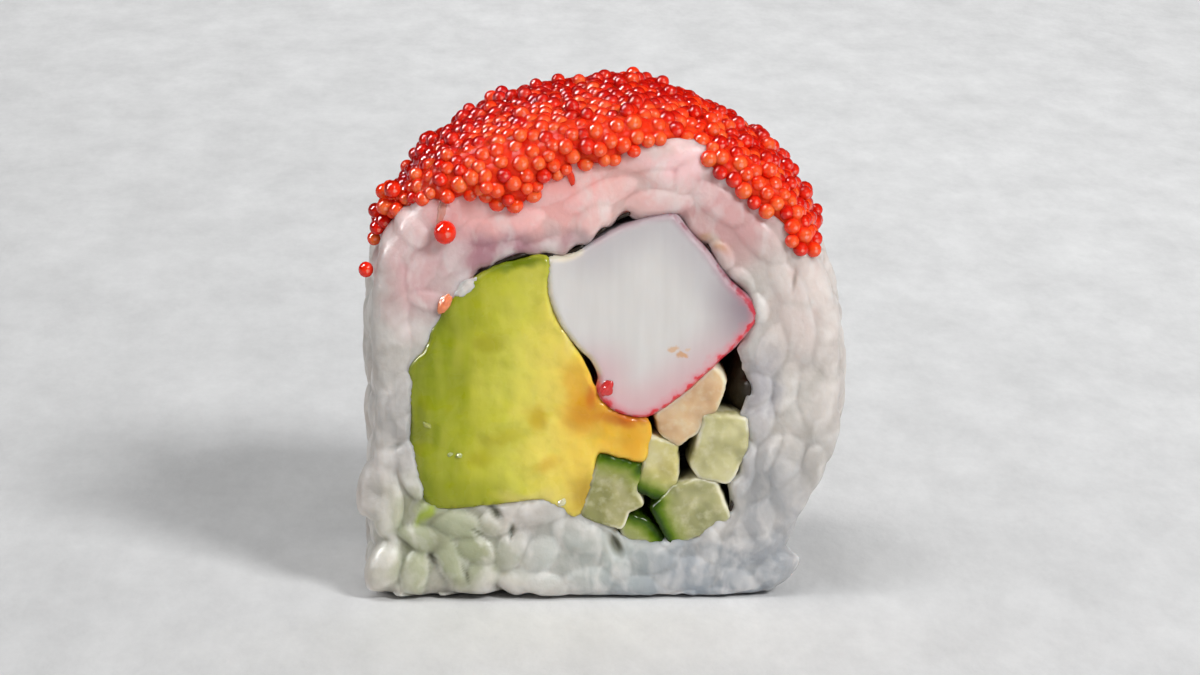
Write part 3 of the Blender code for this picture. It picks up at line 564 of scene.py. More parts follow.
def strayed(tree, place, size, detail, reach):
    """The place moved about by noise of that size, up to half that reach, so that edges wander."""
    stray = node(tree, "ShaderNodeTexNoise", {"Vector": place, "Scale": 1 / (size * MM), "Detail": detail})
    stray = node(tree, "ShaderNodeVectorMath", {0: stray.outputs["Color"], 1: (0.5, 0.5, 0.5)},
                 operation="SUBTRACT")
    return node(tree, "ShaderNodeVectorMath", {0: stray, 1: (reach * MM,) * 3, 2: place},
                operation="MULTIPLY_ADD")


def from_spot(tree, place, x, z, reach_x, reach_z):
    """How far a place is from a spot on the cut, in shares of the spot's reach."""
    scale = (1 / (reach_x * MM), 0.0, 1 / (reach_z * MM))
    shift = (-x / reach_x, 0.0, -z / reach_z)
    away = node(tree, "ShaderNodeVectorMath", {0: place, 1: scale, 2: shift}, operation="MULTIPLY_ADD")
    return node(tree, "ShaderNodeVectorMath", {0: away}, operation="LENGTH").outputs["Value"]


def patched(tree, colour, place, patches, far, near):
    """Lays patches of colour over a colour: marks of the food's own colour and, on the rice, painted shade.
    Each has x, z, reach in x and z, colour and strength.
    """
    for x, z, reach_x, reach_z, patch_colour, strength in patches:
        away = from_spot(tree, place, x, z, reach_x, reach_z)
        colour = tinted(tree, colour, linear(patch_colour), away, far, near, strength, soft=True)
    return colour


def surfaced(tree, shader, colour, height, strength, reach, **settings):
    """Gives the shader its colour, and relief from a height field, up to that reach in millimetres."""
    relief = node(tree, "ShaderNodeBump", {"Height": height, "Strength": strength, "Distance": reach * MM},
                  **settings)
    tree.links.new(colour.outputs[2], shader.inputs["Base Color"])
    tree.links.new(relief.outputs["Normal"], shader.inputs["Normal"])


# Cooked rice, swollen and wet: milky and translucent, so light goes over a millimetre into it, with a soft
# shine. The patches of colour are juices, roe from above and avocado at the lower left, and tones that vary.
# Painted shade makes the foot darker and cooler and the left side darker.
RICE_STAINS_AND_SHADE = [
    # x, z, reach in x and z, colour, strength
    (-8.0, 38.5, 17.0, 8.5, "FFC4BE", 0.80),
    (-7.0, 36.0, 9.0, 4.5, "FFC0BE", 0.55),
    (-9.0, 39.0, 12.0, 2.6, "FC9890", 0.55),
    (-15.5, 30.5, 5.5, 7.0, "D6A8AA", 0.75),
    (-9.5, 31.3, 5.0, 2.6, "AA7884", 0.85),
    (-3.5, 32.0, 3.5, 1.8, "A8868C", 0.70),
    (10.0, 36.0, 9.0, 7.0, "DEA6A6", 0.78),
    (6.0, 39.5, 4.5, 1.6, "FAD4D4", 0.85),
    (9.6, 32.2, 1.8, 1.2, "C79A72", 0.70),
    (16.7, 28.6, 0.8, 1.2, "B88E80", 0.60),
    (-15.0, 5.5, 6.0, 7.5, "96A070", 0.65),
    (-10.0, 4.5, 3.5, 4.0, "8E9668", 0.40),
    (-15.4, 8.1, 1.0, 1.4, "A6B832", 0.85),
    # painted shade: the low part of the cut face is darker and cooler towards the foot
    (8.0, 1.5, 13.0, 5.5, "8C96A0", 0.80),
    (14.5, 8.0, 5.0, 7.0, "9A9DA2", 0.70),
    (-1.5, 4.0, 8.0, 5.0, "B8BEB8", 0.70),
    (-12.0, 0.0, 9.0, 1.8, "8E8A84", 0.50),
    (8.0, -0.2, 12.0, 1.6, "868C94", 0.50),
    (13.2, 18.5, 2.4, 6.0, "A5A3AC", 0.60),
    (-17.9, 16.5, 2.6, 5.0, "9B9998", 0.65),
    # painted shade: the left side, which faces away from the window, is darker
    (-22.5, 17.0, 2.2, 17.0, "BEB0A6", 0.50),
    (17.0, 27.5, 5.0, 8.0, "E0D0CA", 0.70),
    (20.5, 21.0, 2.5, 8.0, "C8BEB8", 0.60),
    (19.5, 12.5, 3.0, 5.0, "AFABA6", 0.60),
]

rice_finish, tree, shader = new_finish(
    "cooked_rice", IOR=1.4, Subsurface_Weight=1.0, Subsurface_Radius=(1.0, 0.85, 0.75),
    Subsurface_Scale=1.7 * MM, Coat_Weight=0.10, Coat_Roughness=0.22, Coat_IOR=1.35)
place = node(tree, "ShaderNodeTexCoord").outputs["Object"]
warped = strayed(tree, place, 5, 3.0, 5)
# Clouds under a grain's width, each grain's own shade, and milky streaks where starch has set
cloud = node(tree, "ShaderNodeTexNoise", {"Vector": place, "Scale": 1 / (1.6 * MM), "Detail": 2.0})
colour = tinted(tree, linear("C9C3BC"), linear("DCD6D0"), cloud, 0.35, 0.65)
shade = node(tree, "ShaderNodeAttribute", attribute_name="grain_shade").outputs["Fac"]
colour = tinted(tree, colour, linear("A29F9B"), shade, -1.0, 1.0, 0.35)
colour = patched(tree, colour, warped, RICE_STAINS_AND_SHADE, 1.15, 0.35)
upright = node(tree, "ShaderNodeVectorMath", {0: warped, 1: (1.0, 1.0, 0.55)}, operation="MULTIPLY")
milk = node(tree, "ShaderNodeTexNoise", {"Vector": upright, "Scale": 1 / (1.8 * MM), "Detail": 2.0})
colour = tinted(tree, colour, linear("EAE6E2"), milk, 0.44, 0.70, 0.52)
# Painted shade: the creases between grains are darkened
crease = node(tree, "ShaderNodeAttribute", attribute_name="crease").outputs["Fac"]
colour = tinted(tree, colour, linear("A59E90"), crease, 0.0, 1.0, 0.62, blend="MULTIPLY")
# Painted shade: the small gaps between grains are darkened
hollow = node(tree, "ShaderNodeAttribute", attribute_name="hollow").outputs["Fac"]
colour = tinted(tree, colour, linear("6E6C56"), hollow, 0.1, 0.7, 0.8)
# Wet and drier spots lie about a millimetre apart, and the skin of a grain is rough by half of that
wet = node(tree, "ShaderNodeTexNoise", {"Vector": place, "Scale": 1 / (1.1 * MM), "Detail": 2.0})
wet = node(tree, "ShaderNodeMapRange", {"Value": wet, 1: 0.35, 2: 0.65, 3: 0.34, 4: 0.6})
tree.links.new(wet.outputs[0], shader.inputs["Roughness"])
grit = node(tree, "ShaderNodeTexNoise", {"Vector": place, "Scale": 1 / (0.5 * MM), "Detail": 3.0})
surfaced(tree, shader, colour, grit, 0.32, 0.2)
dress(make_rice(), rice_finish, "rice", "rice")


# The sheet of seaweed
# Roasted laver, one sheet rolled round the filling. The moist rice has softened and puckered it, and
# the knife left its cut edge a little ragged.

# How far the sheet lies inside the tunnel's line, and its thickness, three times the real one like the solid
SHEET_GAP, SHEET_THICKNESS = 0.25, 0.3
# How deep its edges lie under the cuts, and how much deeper where rice is smeared over them
SHEET_RECESS, SHEET_COVERED = 0.45, 0.95
# How far over a smear lies where it first counts as cover, and how much farther where it covers in full
COVER_FROM, COVER_OVER = 0.1, 0.35
# Its grid, round the filling and from cut to cut
SHEET_AROUND, SHEET_ROWS = 420, 34
# How far it puckers and how ragged the knife left its edge
SHEET_PUCKER, SHEET_RAG = 0.10, 0.30
# Where the sheet buckles into the gap beside the cucumber, inside the roll: x, z, reach and how far
BUCKLE = (13.0, 18.5, 3.6, 2.6)


def make_seaweed():
    """The sheet as a closed tube, its outer face first and back along its inner one."""
    angles = np.linspace(math.pi, -math.pi, SHEET_AROUND, endpoint=False)
    line = ray_loop(TUNNEL_LOOP, angles)
    away = line - TUNNEL_CENTRE
    away /= np.linalg.norm(away, axis=1, keepdims=True)
    rows = []
    for face in (0, 1):
        depths = np.linspace(-1, 1, SHEET_ROWS)
        for depth in depths if face == 0 else depths[::-1]:
            covered = np.clip((smeared(line, np.sign(depth)) - COVER_FROM) / COVER_OVER, 0, 1)
            y = depth * (SLICE_DEPTH / 2 - SHEET_RECESS - SHEET_COVERED * covered * abs(depth) ** 6)
            at = at_depth(line, y)
            pucker = SHEET_PUCKER * unevenness(at, 1.2, 11)
            rag = SHEET_RAG * unevenness(at * [1, 0, 1], 0.9, 12) * abs(depth) ** 6
            near = np.exp(-((line[:, 0] - BUCKLE[0]) ** 2 + (line[:, 1] - BUCKLE[1]) ** 2) / BUCKLE[2] ** 2)
            buckle = BUCKLE[3] * near * (1 - depth**4)
            inset = SHEET_GAP + SHEET_THICKNESS * face + pucker + buckle
            plane = line - away * inset[:, None]
            rows.append(at_depth(plane, y - np.sign(depth) * np.abs(rag)))
    return mesh_piece("seaweed_sheet", np.concatenate(rows), tube_faces(len(rows), SHEET_AROUND))


# Moist roasted laver: near black with dark brown flecks, a crumpled grain of 0.8 mm and a low wet gloss.
seaweed_finish, tree, shader = new_finish("moist_laver", Roughness=0.4, IOR=1.4)
place = node(tree, "ShaderNodeTexCoord").outputs["Object"]
fleck = node(tree, "ShaderNodeTexNoise", {"Vector": place, "Scale": 1 / (0.8 * MM), "Detail": 4.0})
colour = tinted(tree, linear("0E0D09"), linear("34281A"), fleck, 0.0, 1.0)
surfaced(tree, shader, colour, fleck, 0.5, 0.2)
dress(make_seaweed(), seaweed_finish, "seaweed", "seaweed")


# The wedge of avocado
# Ripe flesh, cut lengthwise from a fruit whose skin side lies to the left: green there, yellow inside
# and golden next to where the stone was. The knife has dragged it into shallow dents.

AVOCADO_OUTLINE = [
    (-5.1, 30.8), (-8.5, 30.4), (-11.3, 29.2), (-13.6, 27.3), (-15.2, 24.4), (-15.8, 22.7),
    (-16.9, 21.7), (-17.3, 20.2), (-17.0, 17.0), (-17.0, 13.8), (-16.2, 10.4), (-15.2, 8.7),
    (-11.5, 8.7), (-6.5, 9.2), (-4.1, 8.5), (-2.7, 7.6), (-1.9, 8.5), (-1.1, 11.0), (-0.7, 13.3),
    (1.2, 13.0), (3.2, 12.6), (3.7, 14.2), (3.7, 16.2), (1.9, 16.6), (0.0, 17.5), (-0.9, 19.0),
    (-1.6, 20.6), (-2.0, 21.6), (-3.1, 23.4), (-4.5, 25.7), (-5.1, 28.1),
]
# How far its ends lie under the cuts, and how round their edges are
AVOCADO_RECESS, AVOCADO_EDGE = 0.2, 0.3
# How far the soft pieces press out past the model's outlines, to touch each other and the rice
PRESSED_OUT = 0.12
# Dents that the knife left: x, z, radius and depth
AVOCADO_DENTS = [
    (-10.1, 23.5, 1.3, 0.16), (-12.7, 19.8, 1.5, 0.18), (-6.2, 16.7, 0.9, 0.16), (-10.9, 13.6, 1.6, 0.15),
    (-9.1, 14.4, 1.2, 0.15), (-5.1, 12.2, 1.0, 0.10), (-15.9, 14.6, 1.0, 0.25), (-4.0, 24.0, 0.9, 0.12),
]


def is_inside(loop, points):
    """Which of the points lie inside the loop."""
    a, b = loop, np.roll(loop, -1, axis=0)
    z = points[:, 1][:, None]
    crosses = (a[:, 1] > z) != (b[:, 1] > z)
    rise = np.where(crosses, b[:, 1] - a[:, 1], 1.0)
    x = a[:, 0] + (z - a[:, 1]) / rise * (b[:, 0] - a[:, 0])
    return (crosses & (points[:, 0][:, None] < x)).sum(axis=1) % 2 == 1


def distance_to(line, points):
    """How far each point is from the nearest point of a dense line."""
    return np.sqrt(((points[:, None, :] - line[None, :, :]) ** 2).sum(axis=2)).min(axis=1)


def face_net(loop, spacing):
    """The loop's points with a net of points inside it, and the triangles between them."""
    low, high = loop.min(axis=0), loop.max(axis=0)
    columns = np.arange(low[0], high[0], spacing)
    # The rows lie closer than the columns, by the share that makes even triangles
    rows = np.arange(low[1], high[1], spacing * 0.866)
    net = np.array([(x + (k % 2) * spacing / 2, z) for k, z in enumerate(rows) for x in columns])
    net = net[is_inside(loop, net)]
    net = net[distance_to(loop, net) > 0.6 * spacing]
    points = np.vstack([loop, net])
    edges = [(k, (k + 1) % len(loop)) for k in range(len(loop))]
    found = delaunay_2d_cdt([Vector(p) for p in points], edges, [], 1, 1e-5)
    return points, [tuple(f) for f in found[2]]


# How many rings of points run round a piece from its front edge to its back one
PIECE_RINGS = 26


def cut_piece(name, loop, recess, edge, spacing, relief, side_relief=0.0, swell=0.0):
    """A piece of filling right through the slice, and the places of its vertices.

    relief gives how far a cut face's points stand out, from their places and the side they are on.
    side_relief is how uneven the sides are, and swell is how much the piece widens half-way through.
    """
    net, triangles = face_net(loop, spacing)
    from_rim = np.minimum(distance_to(loop, net), edge)
    from_rim[:len(loop)] = 0.0
    rounding = edge - np.sqrt(edge**2 - (edge - from_rim) ** 2)
    half = SLICE_DEPTH / 2 - recess
    points, faces = [], []
    for side in (-1, 1):
        fade = np.clip(from_rim / edge, 0, 1)
        y = side * (half - rounding + relief(net, side) * fade)
        start = len(points)
        points.extend(at_depth(net, y))
        faces.extend(tuple(start + c for c in face) for face in triangles)
    count = len(loop)
    normals = outward(loop)
    depths = np.linspace(-(half - edge), half - edge, PIECE_RINGS)
    rings = [list(range(count))]
    for y in depths[1:-1]:
        at = at_depth(loop, y)
        give = side_relief * (unevenness(at, 3.0, 21) - 1) + swell * (1 - (y / half) ** 6)
        plane = loop + normals * give[:, None]
        rings.append(list(range(len(points), len(points) + count)))
        points.extend(at_depth(plane, y))
    rings.append(list(range(len(net), len(net) + count)))
    for one, two in zip(rings, rings[1:]):
        for k in range(count):
            n = (k + 1) % count
            faces.append((one[k], one[n], two[n], two[k]))
    points = np.array(points)
    return mesh_piece(name, points, faces), points


def avocado_relief(net, side):
    """How far the cut flesh stands out, swollen and dented."""
    at = at_depth(net, side * 5.0)
    height = 0.25 * unevenness(at, 4.0, 31) + 0.11 * unevenness(at, 1.5, 32)
    if side < 0:
        for x, z, radius, deep in AVOCADO_DENTS:
            height -= deep * np.exp(-((net[:, 0] - x) ** 2 + (net[:, 1] - z) ** 2) / radius**2)
    return height


avocado_loop = smooth_loop(AVOCADO_OUTLINE, 300)
rough = 0.12 * unevenness(at_depth(avocado_loop, 0.0), 1.3, 33)
avocado_loop += outward(avocado_loop) * (PRESSED_OUT + rough)[:, None]
avocado, avocado_points = cut_piece(
    "avocado_wedge", avocado_loop, AVOCADO_RECESS, AVOCADO_EDGE, spacing=0.32, relief=avocado_relief,
    side_relief=0.05)
skin_side = smooth_loop(AVOCADO_OUTLINE)
skin_side = skin_side[(skin_side[:, 0] < -6.0) | (skin_side[:, 1] > 29.5)]
mark(avocado, "from_skin", distance_to(skin_side, avocado_points[:, [0, 2]]))

# Ripe avocado flesh, cut: smooth, fatty and a little translucent, with a wet satin shine.
AVOCADO_FLESH = [(0.0, "7A8608"), (0.14, "939C0E"), (0.28, "B2B328"), (0.42, "D0CC50"), (0.60, "EAD664"),
                 (0.78, "F4CE54"), (1.0, "E8A41C")]
# Where the stone lay: x, z, and how far the gold goes over to green in x and z
STONE_SIDE = (2.6, 15.6, 19.5, 39.0)
AVOCADO_STAINS = [
    # x, z, reach in x and z, colour, strength
    (-10.1, 23.5, 1.4, 1.0, "A09A12", 0.60), (-12.9, 19.6, 1.4, 2.0, "88900E", 0.60),
    (-6.2, 16.7, 0.9, 1.3, "C2A010", 0.70), (-10.9, 13.4, 1.8, 1.0, "A9A010", 0.60),
    (-9.1, 14.8, 1.8, 0.8, "B8AC1C", 0.55), (-5.1, 12.2, 1.3, 0.9, "D3A830", 0.55),
    (-1.6, 17.4, 2.4, 2.6, "D08A08", 0.80), (-2.6, 19.8, 1.4, 2.2, "DCA020", 0.55),
    (-2.0, 9.6, 1.8, 2.4, "A88420", 0.75), (2.4, 14.6, 1.6, 1.6, "E0A828", 0.55),
    (1.8, 16.7, 2.6, 0.8, "C05C08", 0.85), (-0.9, 18.7, 0.7, 1.2, "D06A10", 0.70),
    (-7.4, 30.4, 3.4, 0.7, "5E7410", 0.80), (-4.4, 28.2, 0.5, 2.8, "C9C07A", 0.50),
    (-12.5, 10.0, 5.5, 1.8, "8A9010", 0.50), (-3.4, 24.4, 0.6, 2.4, "DCC880", 0.50),
    (-6.5, 9.6, 3.5, 0.8, "DDCB7A", 0.55), (-16.4, 15.0, 0.8, 3.4, "777B10", 0.45),
]


def set_steps(ramp, steps):
    """Gives a colour ramp its steps, each a share and a colour."""
    ramp.elements.remove(ramp.elements[1])
    ramp.elements[0].color = linear(steps[0][1])
    for share, step in steps[1:]:
        ramp.elements.new(share).color = linear(step)


avocado_finish, tree, shader = new_finish(
    "ripe_avocado", Roughness=0.25, IOR=1.44, Specular_IOR_Level=0.3, Subsurface_Weight=0.6,
    Subsurface_Radius=(1.0, 0.8, 0.3), Subsurface_Scale=0.8 * MM, Coat_Weight=0.2, Coat_Roughness=0.08)
place = node(tree, "ShaderNodeTexCoord").outputs["Object"]
warped = strayed(tree, place, 4, 3.0, 3)
inner = node(tree, "ShaderNodeMath", {0: 1.0, 1: from_spot(tree, warped, *STONE_SIDE)}, operation="SUBTRACT")
skin = node(tree, "ShaderNodeAttribute", attribute_name="from_skin").outputs["Fac"]
skin = node(tree, "ShaderNodeMapRange", {"Value": skin, 1: 0.0, 2: 1.2, 3: -0.10, 4: 0.0},
            interpolation_type="SMOOTHSTEP")
inner = node(tree, "ShaderNodeMath", {0: inner, 1: skin}, operation="ADD")
ramp = node(tree, "ShaderNodeValToRGB", {"Fac": inner})
set_steps(ramp.color_ramp, AVOCADO_FLESH)
# Pale fibres lean along the flesh, 1.5 mm apart, and riper blotches are about 2 mm wide
lean = node(tree, "ShaderNodeMapping",
            {"Vector": place, "Rotation": (0.0, math.radians(-18), 0.0), "Scale": (1.0, 1.0, 0.22)})
streak = node(tree, "ShaderNodeTexNoise", {"Vector": lean, "Scale": 1 / (1.5 * MM), "Detail": 3.0})
colour = tinted(tree, ramp, linear("E6DA70"), streak, 0.4, 0.7, 0.25)
blotch = node(tree, "ShaderNodeTexNoise", {"Vector": place, "Scale": 1 / (2.2 * MM), "Detail": 4.0})
colour = tinted(tree, colour, linear("989A14"), blotch, 0.5, 0.75, 0.28)
colour = patched(tree, colour, warped, AVOCADO_STAINS, 1.3, 0.2)
wet = node(tree, "ShaderNodeTexNoise", {"Vector": place, "Scale": 1 / (1.8 * MM), "Detail": 2.0})
wet = node(tree, "ShaderNodeMapRange", {"Value": wet, 1: 0.4, 2: 0.65, 3: 0.42, 4: 0.14})
tree.links.new(wet.outputs[0], shader.inputs["Roughness"])
drag = node(tree, "ShaderNodeTexNoise", {"Vector": place, "Scale": 1 / (0.9 * MM), "Detail": 3.0})
surfaced(tree, shader, colour, drag, 0.3, 0.2)
dress(avocado, avocado_finish, "avocado", "avocado")


# The crab stick
# White fish paste, set in thin sheets and rolled up, so fine bands run through it. Its outside is dyed
# red, and the knife has torn that skin to a thin broken line with small beads of dye.

CRAB_OUTLINE = [
    (-5.0, 30.8), (-5.0, 28.0), (-4.2, 25.4), (-2.7, 23.2), (-1.2, 21.7), (-0.6, 20.2), (-0.7, 18.9),
    (0.3, 17.5), (2.0, 16.7), (3.9, 16.7), (6.6, 18.5), (9.4, 21.0), (11.8, 23.4), (13.1, 25.2),
    (12.9, 26.7), (10.9, 28.6), (8.8, 31.4), (7.1, 33.3), (5.8, 34.6), (3.4, 34.2), (0.6, 33.1),
    (-1.9, 31.6), (-3.6, 30.9),
]
# Its ends lie level with the cuts, and this is how round their edges are
CRAB_RECESS, CRAB_EDGE = 0.0, 0.6


def crab_relief(net, side):
    """How far the cut paste stands out: a slow swell and fine upright bands."""
    at = at_depth(net, side * 5.0)
    return 0.08 * unevenness(at, 6.0, 41) + 0.02 * unevenness(at * [1, 1, 0.15], 0.8, 42)


crab_loop = smooth_loop(CRAB_OUTLINE, 260)
rough = 0.06 * unevenness(at_depth(crab_loop, 0.0), 1.6, 43)
crab_loop += outward(crab_loop) * (PRESSED_OUT + rough)[:, None]
crab, crab_points = cut_piece(
    "crab_stick_flesh", crab_loop, CRAB_RECESS, CRAB_EDGE, spacing=0.3, relief=crab_relief, side_relief=0.05)
crab_plane = crab_points[:, [0, 2]]
# The dyed side runs from the top, down the right, to the bottom corner: x, z and how deep the dye shows
DYE_LINE = [
    (-1.0, 32.5, 0.00), (0.4, 33.4, 0.00), (3.3, 34.5, 0.04), (5.8, 34.7, 0.03), (8.8, 31.4, 0.04),
    (10.9, 28.6, 0.08), (12.9, 26.7, 0.16), (13.1, 25.2, 0.15), (11.8, 23.4, 0.13), (9.4, 21.0, 0.17),
    (6.6, 18.5, 0.16), (3.9, 16.7, 0.11), (2.0, 16.7, 0.07), (0.3, 17.5, 0.12), (-0.7, 18.9, 0.22),
    (-0.9, 20.2, 0.03),
]


def along_line(line, count):
    """The open line's points and what else they hold, as count of them, evenly between its own."""
    at = np.linspace(0, len(line) - 1, count)
    return np.stack([np.interp(at, range(len(line)), column) for column in zip(*line)], axis=1)


dyed = along_line(DYE_LINE, 600)
dye_away = np.sqrt(((crab_plane[:, None, :] - dyed[None, :, :2]) ** 2).sum(axis=2))
mark(crab, "from_dye", dye_away.min(axis=1))
mark(crab, "dye_depth", dyed[dye_away.argmin(axis=1), 2])
# The side that touches the avocado has taken up some cream from it
cream_side = crab_loop[(crab_loop[:, 0] < -0.8) & (crab_loop[:, 1] < 31.5)]
mark(crab, "from_cream", distance_to(cream_side, crab_plane))

# Set fish paste, white and dense, faintly translucent, with a moist satin shine and fine upright bands.
CRAB_STAINS = [
    # a few tan flecks: x, z, reach in x and z, colour, strength
    (5.9, 22.7, 0.55, 0.28, "D8AE84", 0.75), (6.7, 22.2, 0.50, 0.25, "D4A070", 0.80),
    (7.2, 22.7, 0.30, 0.20, "DEBC98", 0.60),
]
# The corner at the right lies in shade, with the dye deeper under it: x, z and reach in both
DARK_CORNER = (13.0, 26.5, 4.5, 4.5)

crab_finish, tree, shader = new_finish(
    "set_fish_paste", Roughness=0.35, IOR=1.4, Subsurface_Weight=0.6, Subsurface_Radius=(1.0, 0.8, 0.7),
    Subsurface_Scale=1.0 * MM)
place = node(tree, "ShaderNodeTexCoord").outputs["Object"]
frayed = strayed(tree, place, 0.6, 2.0, 0.9)
# The rolled sheets show as upright bands under a millimetre wide
stretched = node(tree, "ShaderNodeVectorMath", {0: place, 1: (1.0, 1.0, 0.12)}, operation="MULTIPLY")
bands = node(tree, "ShaderNodeTexNoise", {"Vector": stretched, "Scale": 1 / (0.9 * MM), "Detail": 3.0})
colour = tinted(tree, linear("D4D0CC"), linear("E0DDDA"), bands, 0.0, 1.0)
# The dye has bled some millimetres into the paste, redder low down
height = node(tree, "ShaderNodeSeparateXYZ", {"Vector": place}).outputs["Z"]
from_dye = node(tree, "ShaderNodeAttribute", attribute_name="from_dye").outputs["Fac"]
bled = tinted(tree, linear("D89EA4"), linear("BAB4B8"), height, 19.0 * MM, 27.0 * MM)
colour = tinted(tree, colour, bled, from_dye, 5.0, 0.3, 0.65, soft=True)
corner = from_spot(tree, place, *DARK_CORNER)
colour = tinted(tree, colour, linear("94808A"), corner, 1.2, 0.0, 0.9, soft=True)
cream = node(tree, "ShaderNodeAttribute", attribute_name="from_cream").outputs["Fac"]
colour = tinted(tree, colour, linear("E8DFC6"), cream, 0.7, 0.15, 0.8, soft=True)
# The dyed skin itself is a thin torn line with beads of dye, and soaks what is next to it
beads = node(tree, "ShaderNodeTexNoise", {"Vector": place, "Scale": 1 / (0.9 * MM), "Detail": 2.0})
beads = node(tree, "ShaderNodeMapRange", {"Value": beads, 1: 0.40, 2: 0.72, 3: 0.4, 4: 3.4})
reach = node(tree, "ShaderNodeAttribute", attribute_name="dye_depth").outputs["Fac"]
reach = node(tree, "ShaderNodeMath", {0: reach, 1: beads}, operation="MULTIPLY")
reach = node(tree, "ShaderNodeMath", {0: reach, 1: from_dye}, operation="SUBTRACT")
soaked = tinted(tree, linear("E2808E"), linear("A88490"), height, 24.0 * MM, 29.0 * MM)
colour = tinted(tree, colour, soaked, reach, -0.85, 0.0, 0.6, soft=True)
dye = tinted(tree, linear("DE2434"), linear("8A3A4C"), height, 24.0 * MM, 29.0 * MM)
colour = tinted(tree, colour, dye, reach, -0.20, 0.12, 0.92, soft=True)
colour = patched(tree, colour, frayed, CRAB_STAINS, 1.2, 0.5)
surfaced(tree, shader, colour, bands, 0.12, 0.1)
dress(crab, crab_finish, "crab_stick", "crab_stick")


# The cucumber batons
# Cut lengthwise from a small cucumber, six of them, some with a strip of dark green skin. The flesh is
# watery and see-through at the seeds, and its cut edges are paler, partly drier and partly a painted
# highlight.

CUCUMBERS = {
    # corners of the cut end, how deep the end lies under the cut, and the line that the skin runs along
    "cucumber_core": ([(4.5, 16.7), (6.9, 18.5), (9.6, 20.9), (10.5, 19.6), (9.8, 17.1),
                       (8.7, 16.4), (8.2, 15.2), (6.4, 13.9), (5.0, 14.9)], 0.5, None),
    "cucumber_right": ([(8.7, 16.6), (12.5, 16.3), (12.4, 13.5), (10.9, 10.5), (8.2, 11.0),
                        (7.6, 12.2), (8.3, 14.5)], 0.3, None),
    "cucumber_middle": ([(3.7, 14.8), (6.2, 14.0), (6.3, 12.0), (6.1, 10.0), (4.6, 9.0), (2.7, 9.8),
                         (3.4, 12.4)], 0.6, [(2.7, 9.8), (4.6, 9.0)]),
    "cucumber_left": ([(-0.5, 13.2), (3.1, 12.3), (2.6, 9.8), (3.4, 8.6), (2.0, 8.0), (1.3, 6.4),
                       (-2.1, 7.7), (-1.1, 11.2)], 0.2, [(-0.3, 13.3), (3.1, 12.5), (3.1, 11.8)]),
    "cucumber_lower": ([(6.1, 10.2), (8.3, 10.9), (9.7, 10.5), (11.0, 7.2), (8.0, 5.6), (5.8, 4.8),
                        (4.1, 8.2)], 0.4, [(4.3, 8.7), (4.1, 8.2), (5.6, 5.0)]),
    "cucumber_bottom": ([(2.3, 7.7), (3.7, 7.1), (5.4, 5.0), (2.4, 4.6), (1.4, 6.1)], 0.8,
                        [(2.3, 7.7), (3.7, 7.1), (5.3, 5.1)]),
}
# How round a baton's corners and the edges of its ends are, and how far it swells half-way through
CUCUMBER_CORNER, CUCUMBER_EDGE, CUCUMBER_SWELL = 0.30, 0.16, 0.45
# A distance from the skin at which nothing of its green is left
NO_SKIN = 9.0


def rounded_loop(corners, radius, count):
    """A polygon whose corners are each cut to an arc-like corner of that radius."""
    corners = np.array(corners)
    points = []
    for i, corner in enumerate(corners):
        before = corners[i - 1] - corner
        after = corners[(i + 1) % len(corners)] - corner
        start = corner + before / np.linalg.norm(before) * radius
        end = corner + after / np.linalg.norm(after) * radius
        for t in np.linspace(0, 1, 4):
            points.append((1 - t) ** 2 * start + 2 * t * (1 - t) * corner + t**2 * end)
    return evenly(np.array(points), count)


def cucumber_relief(net, side):
    """How far the cut flesh stands out: its seeds and cells."""
    at = at_depth(net, side * 5.0)
    return 0.14 * unevenness(at, 1.6, 51) + 0.05 * unevenness(at, 0.6, 52)


# Raw cucumber, cut: pale green and watery, see-through for a millimetre or two, wet and shiny. The skin
# is dark green and its colour fades into the flesh under it.
CUCUMBER_FLESH = [
    (0.0, "1E2E06"), (0.10, "34520A"), (0.24, "5E7A12"), (0.46, "96A04C"), (1.0, "C2BC86"),
]
CUCUMBER_TINTS = {
    # the flesh's own tint and its strength, and the darker tint where the watery flesh is see-through
    "cucumber_core": ("E0BC96", 0.9, "B48C66"), "cucumber_right": ("CEC898", 0.7, "8A875E"),
    "cucumber_middle": ("D8CC8C", 0.6, "ACA45C"), "cucumber_left": ("928F5A", 0.7, "6E7840"),
    "cucumber_lower": ("AAA87E", 0.6, "70764A"), "cucumber_bottom": ("A2A67C", 0.4, "687840"),
}
# How far from the skin its green fades out
SKIN_FADE = 2.6


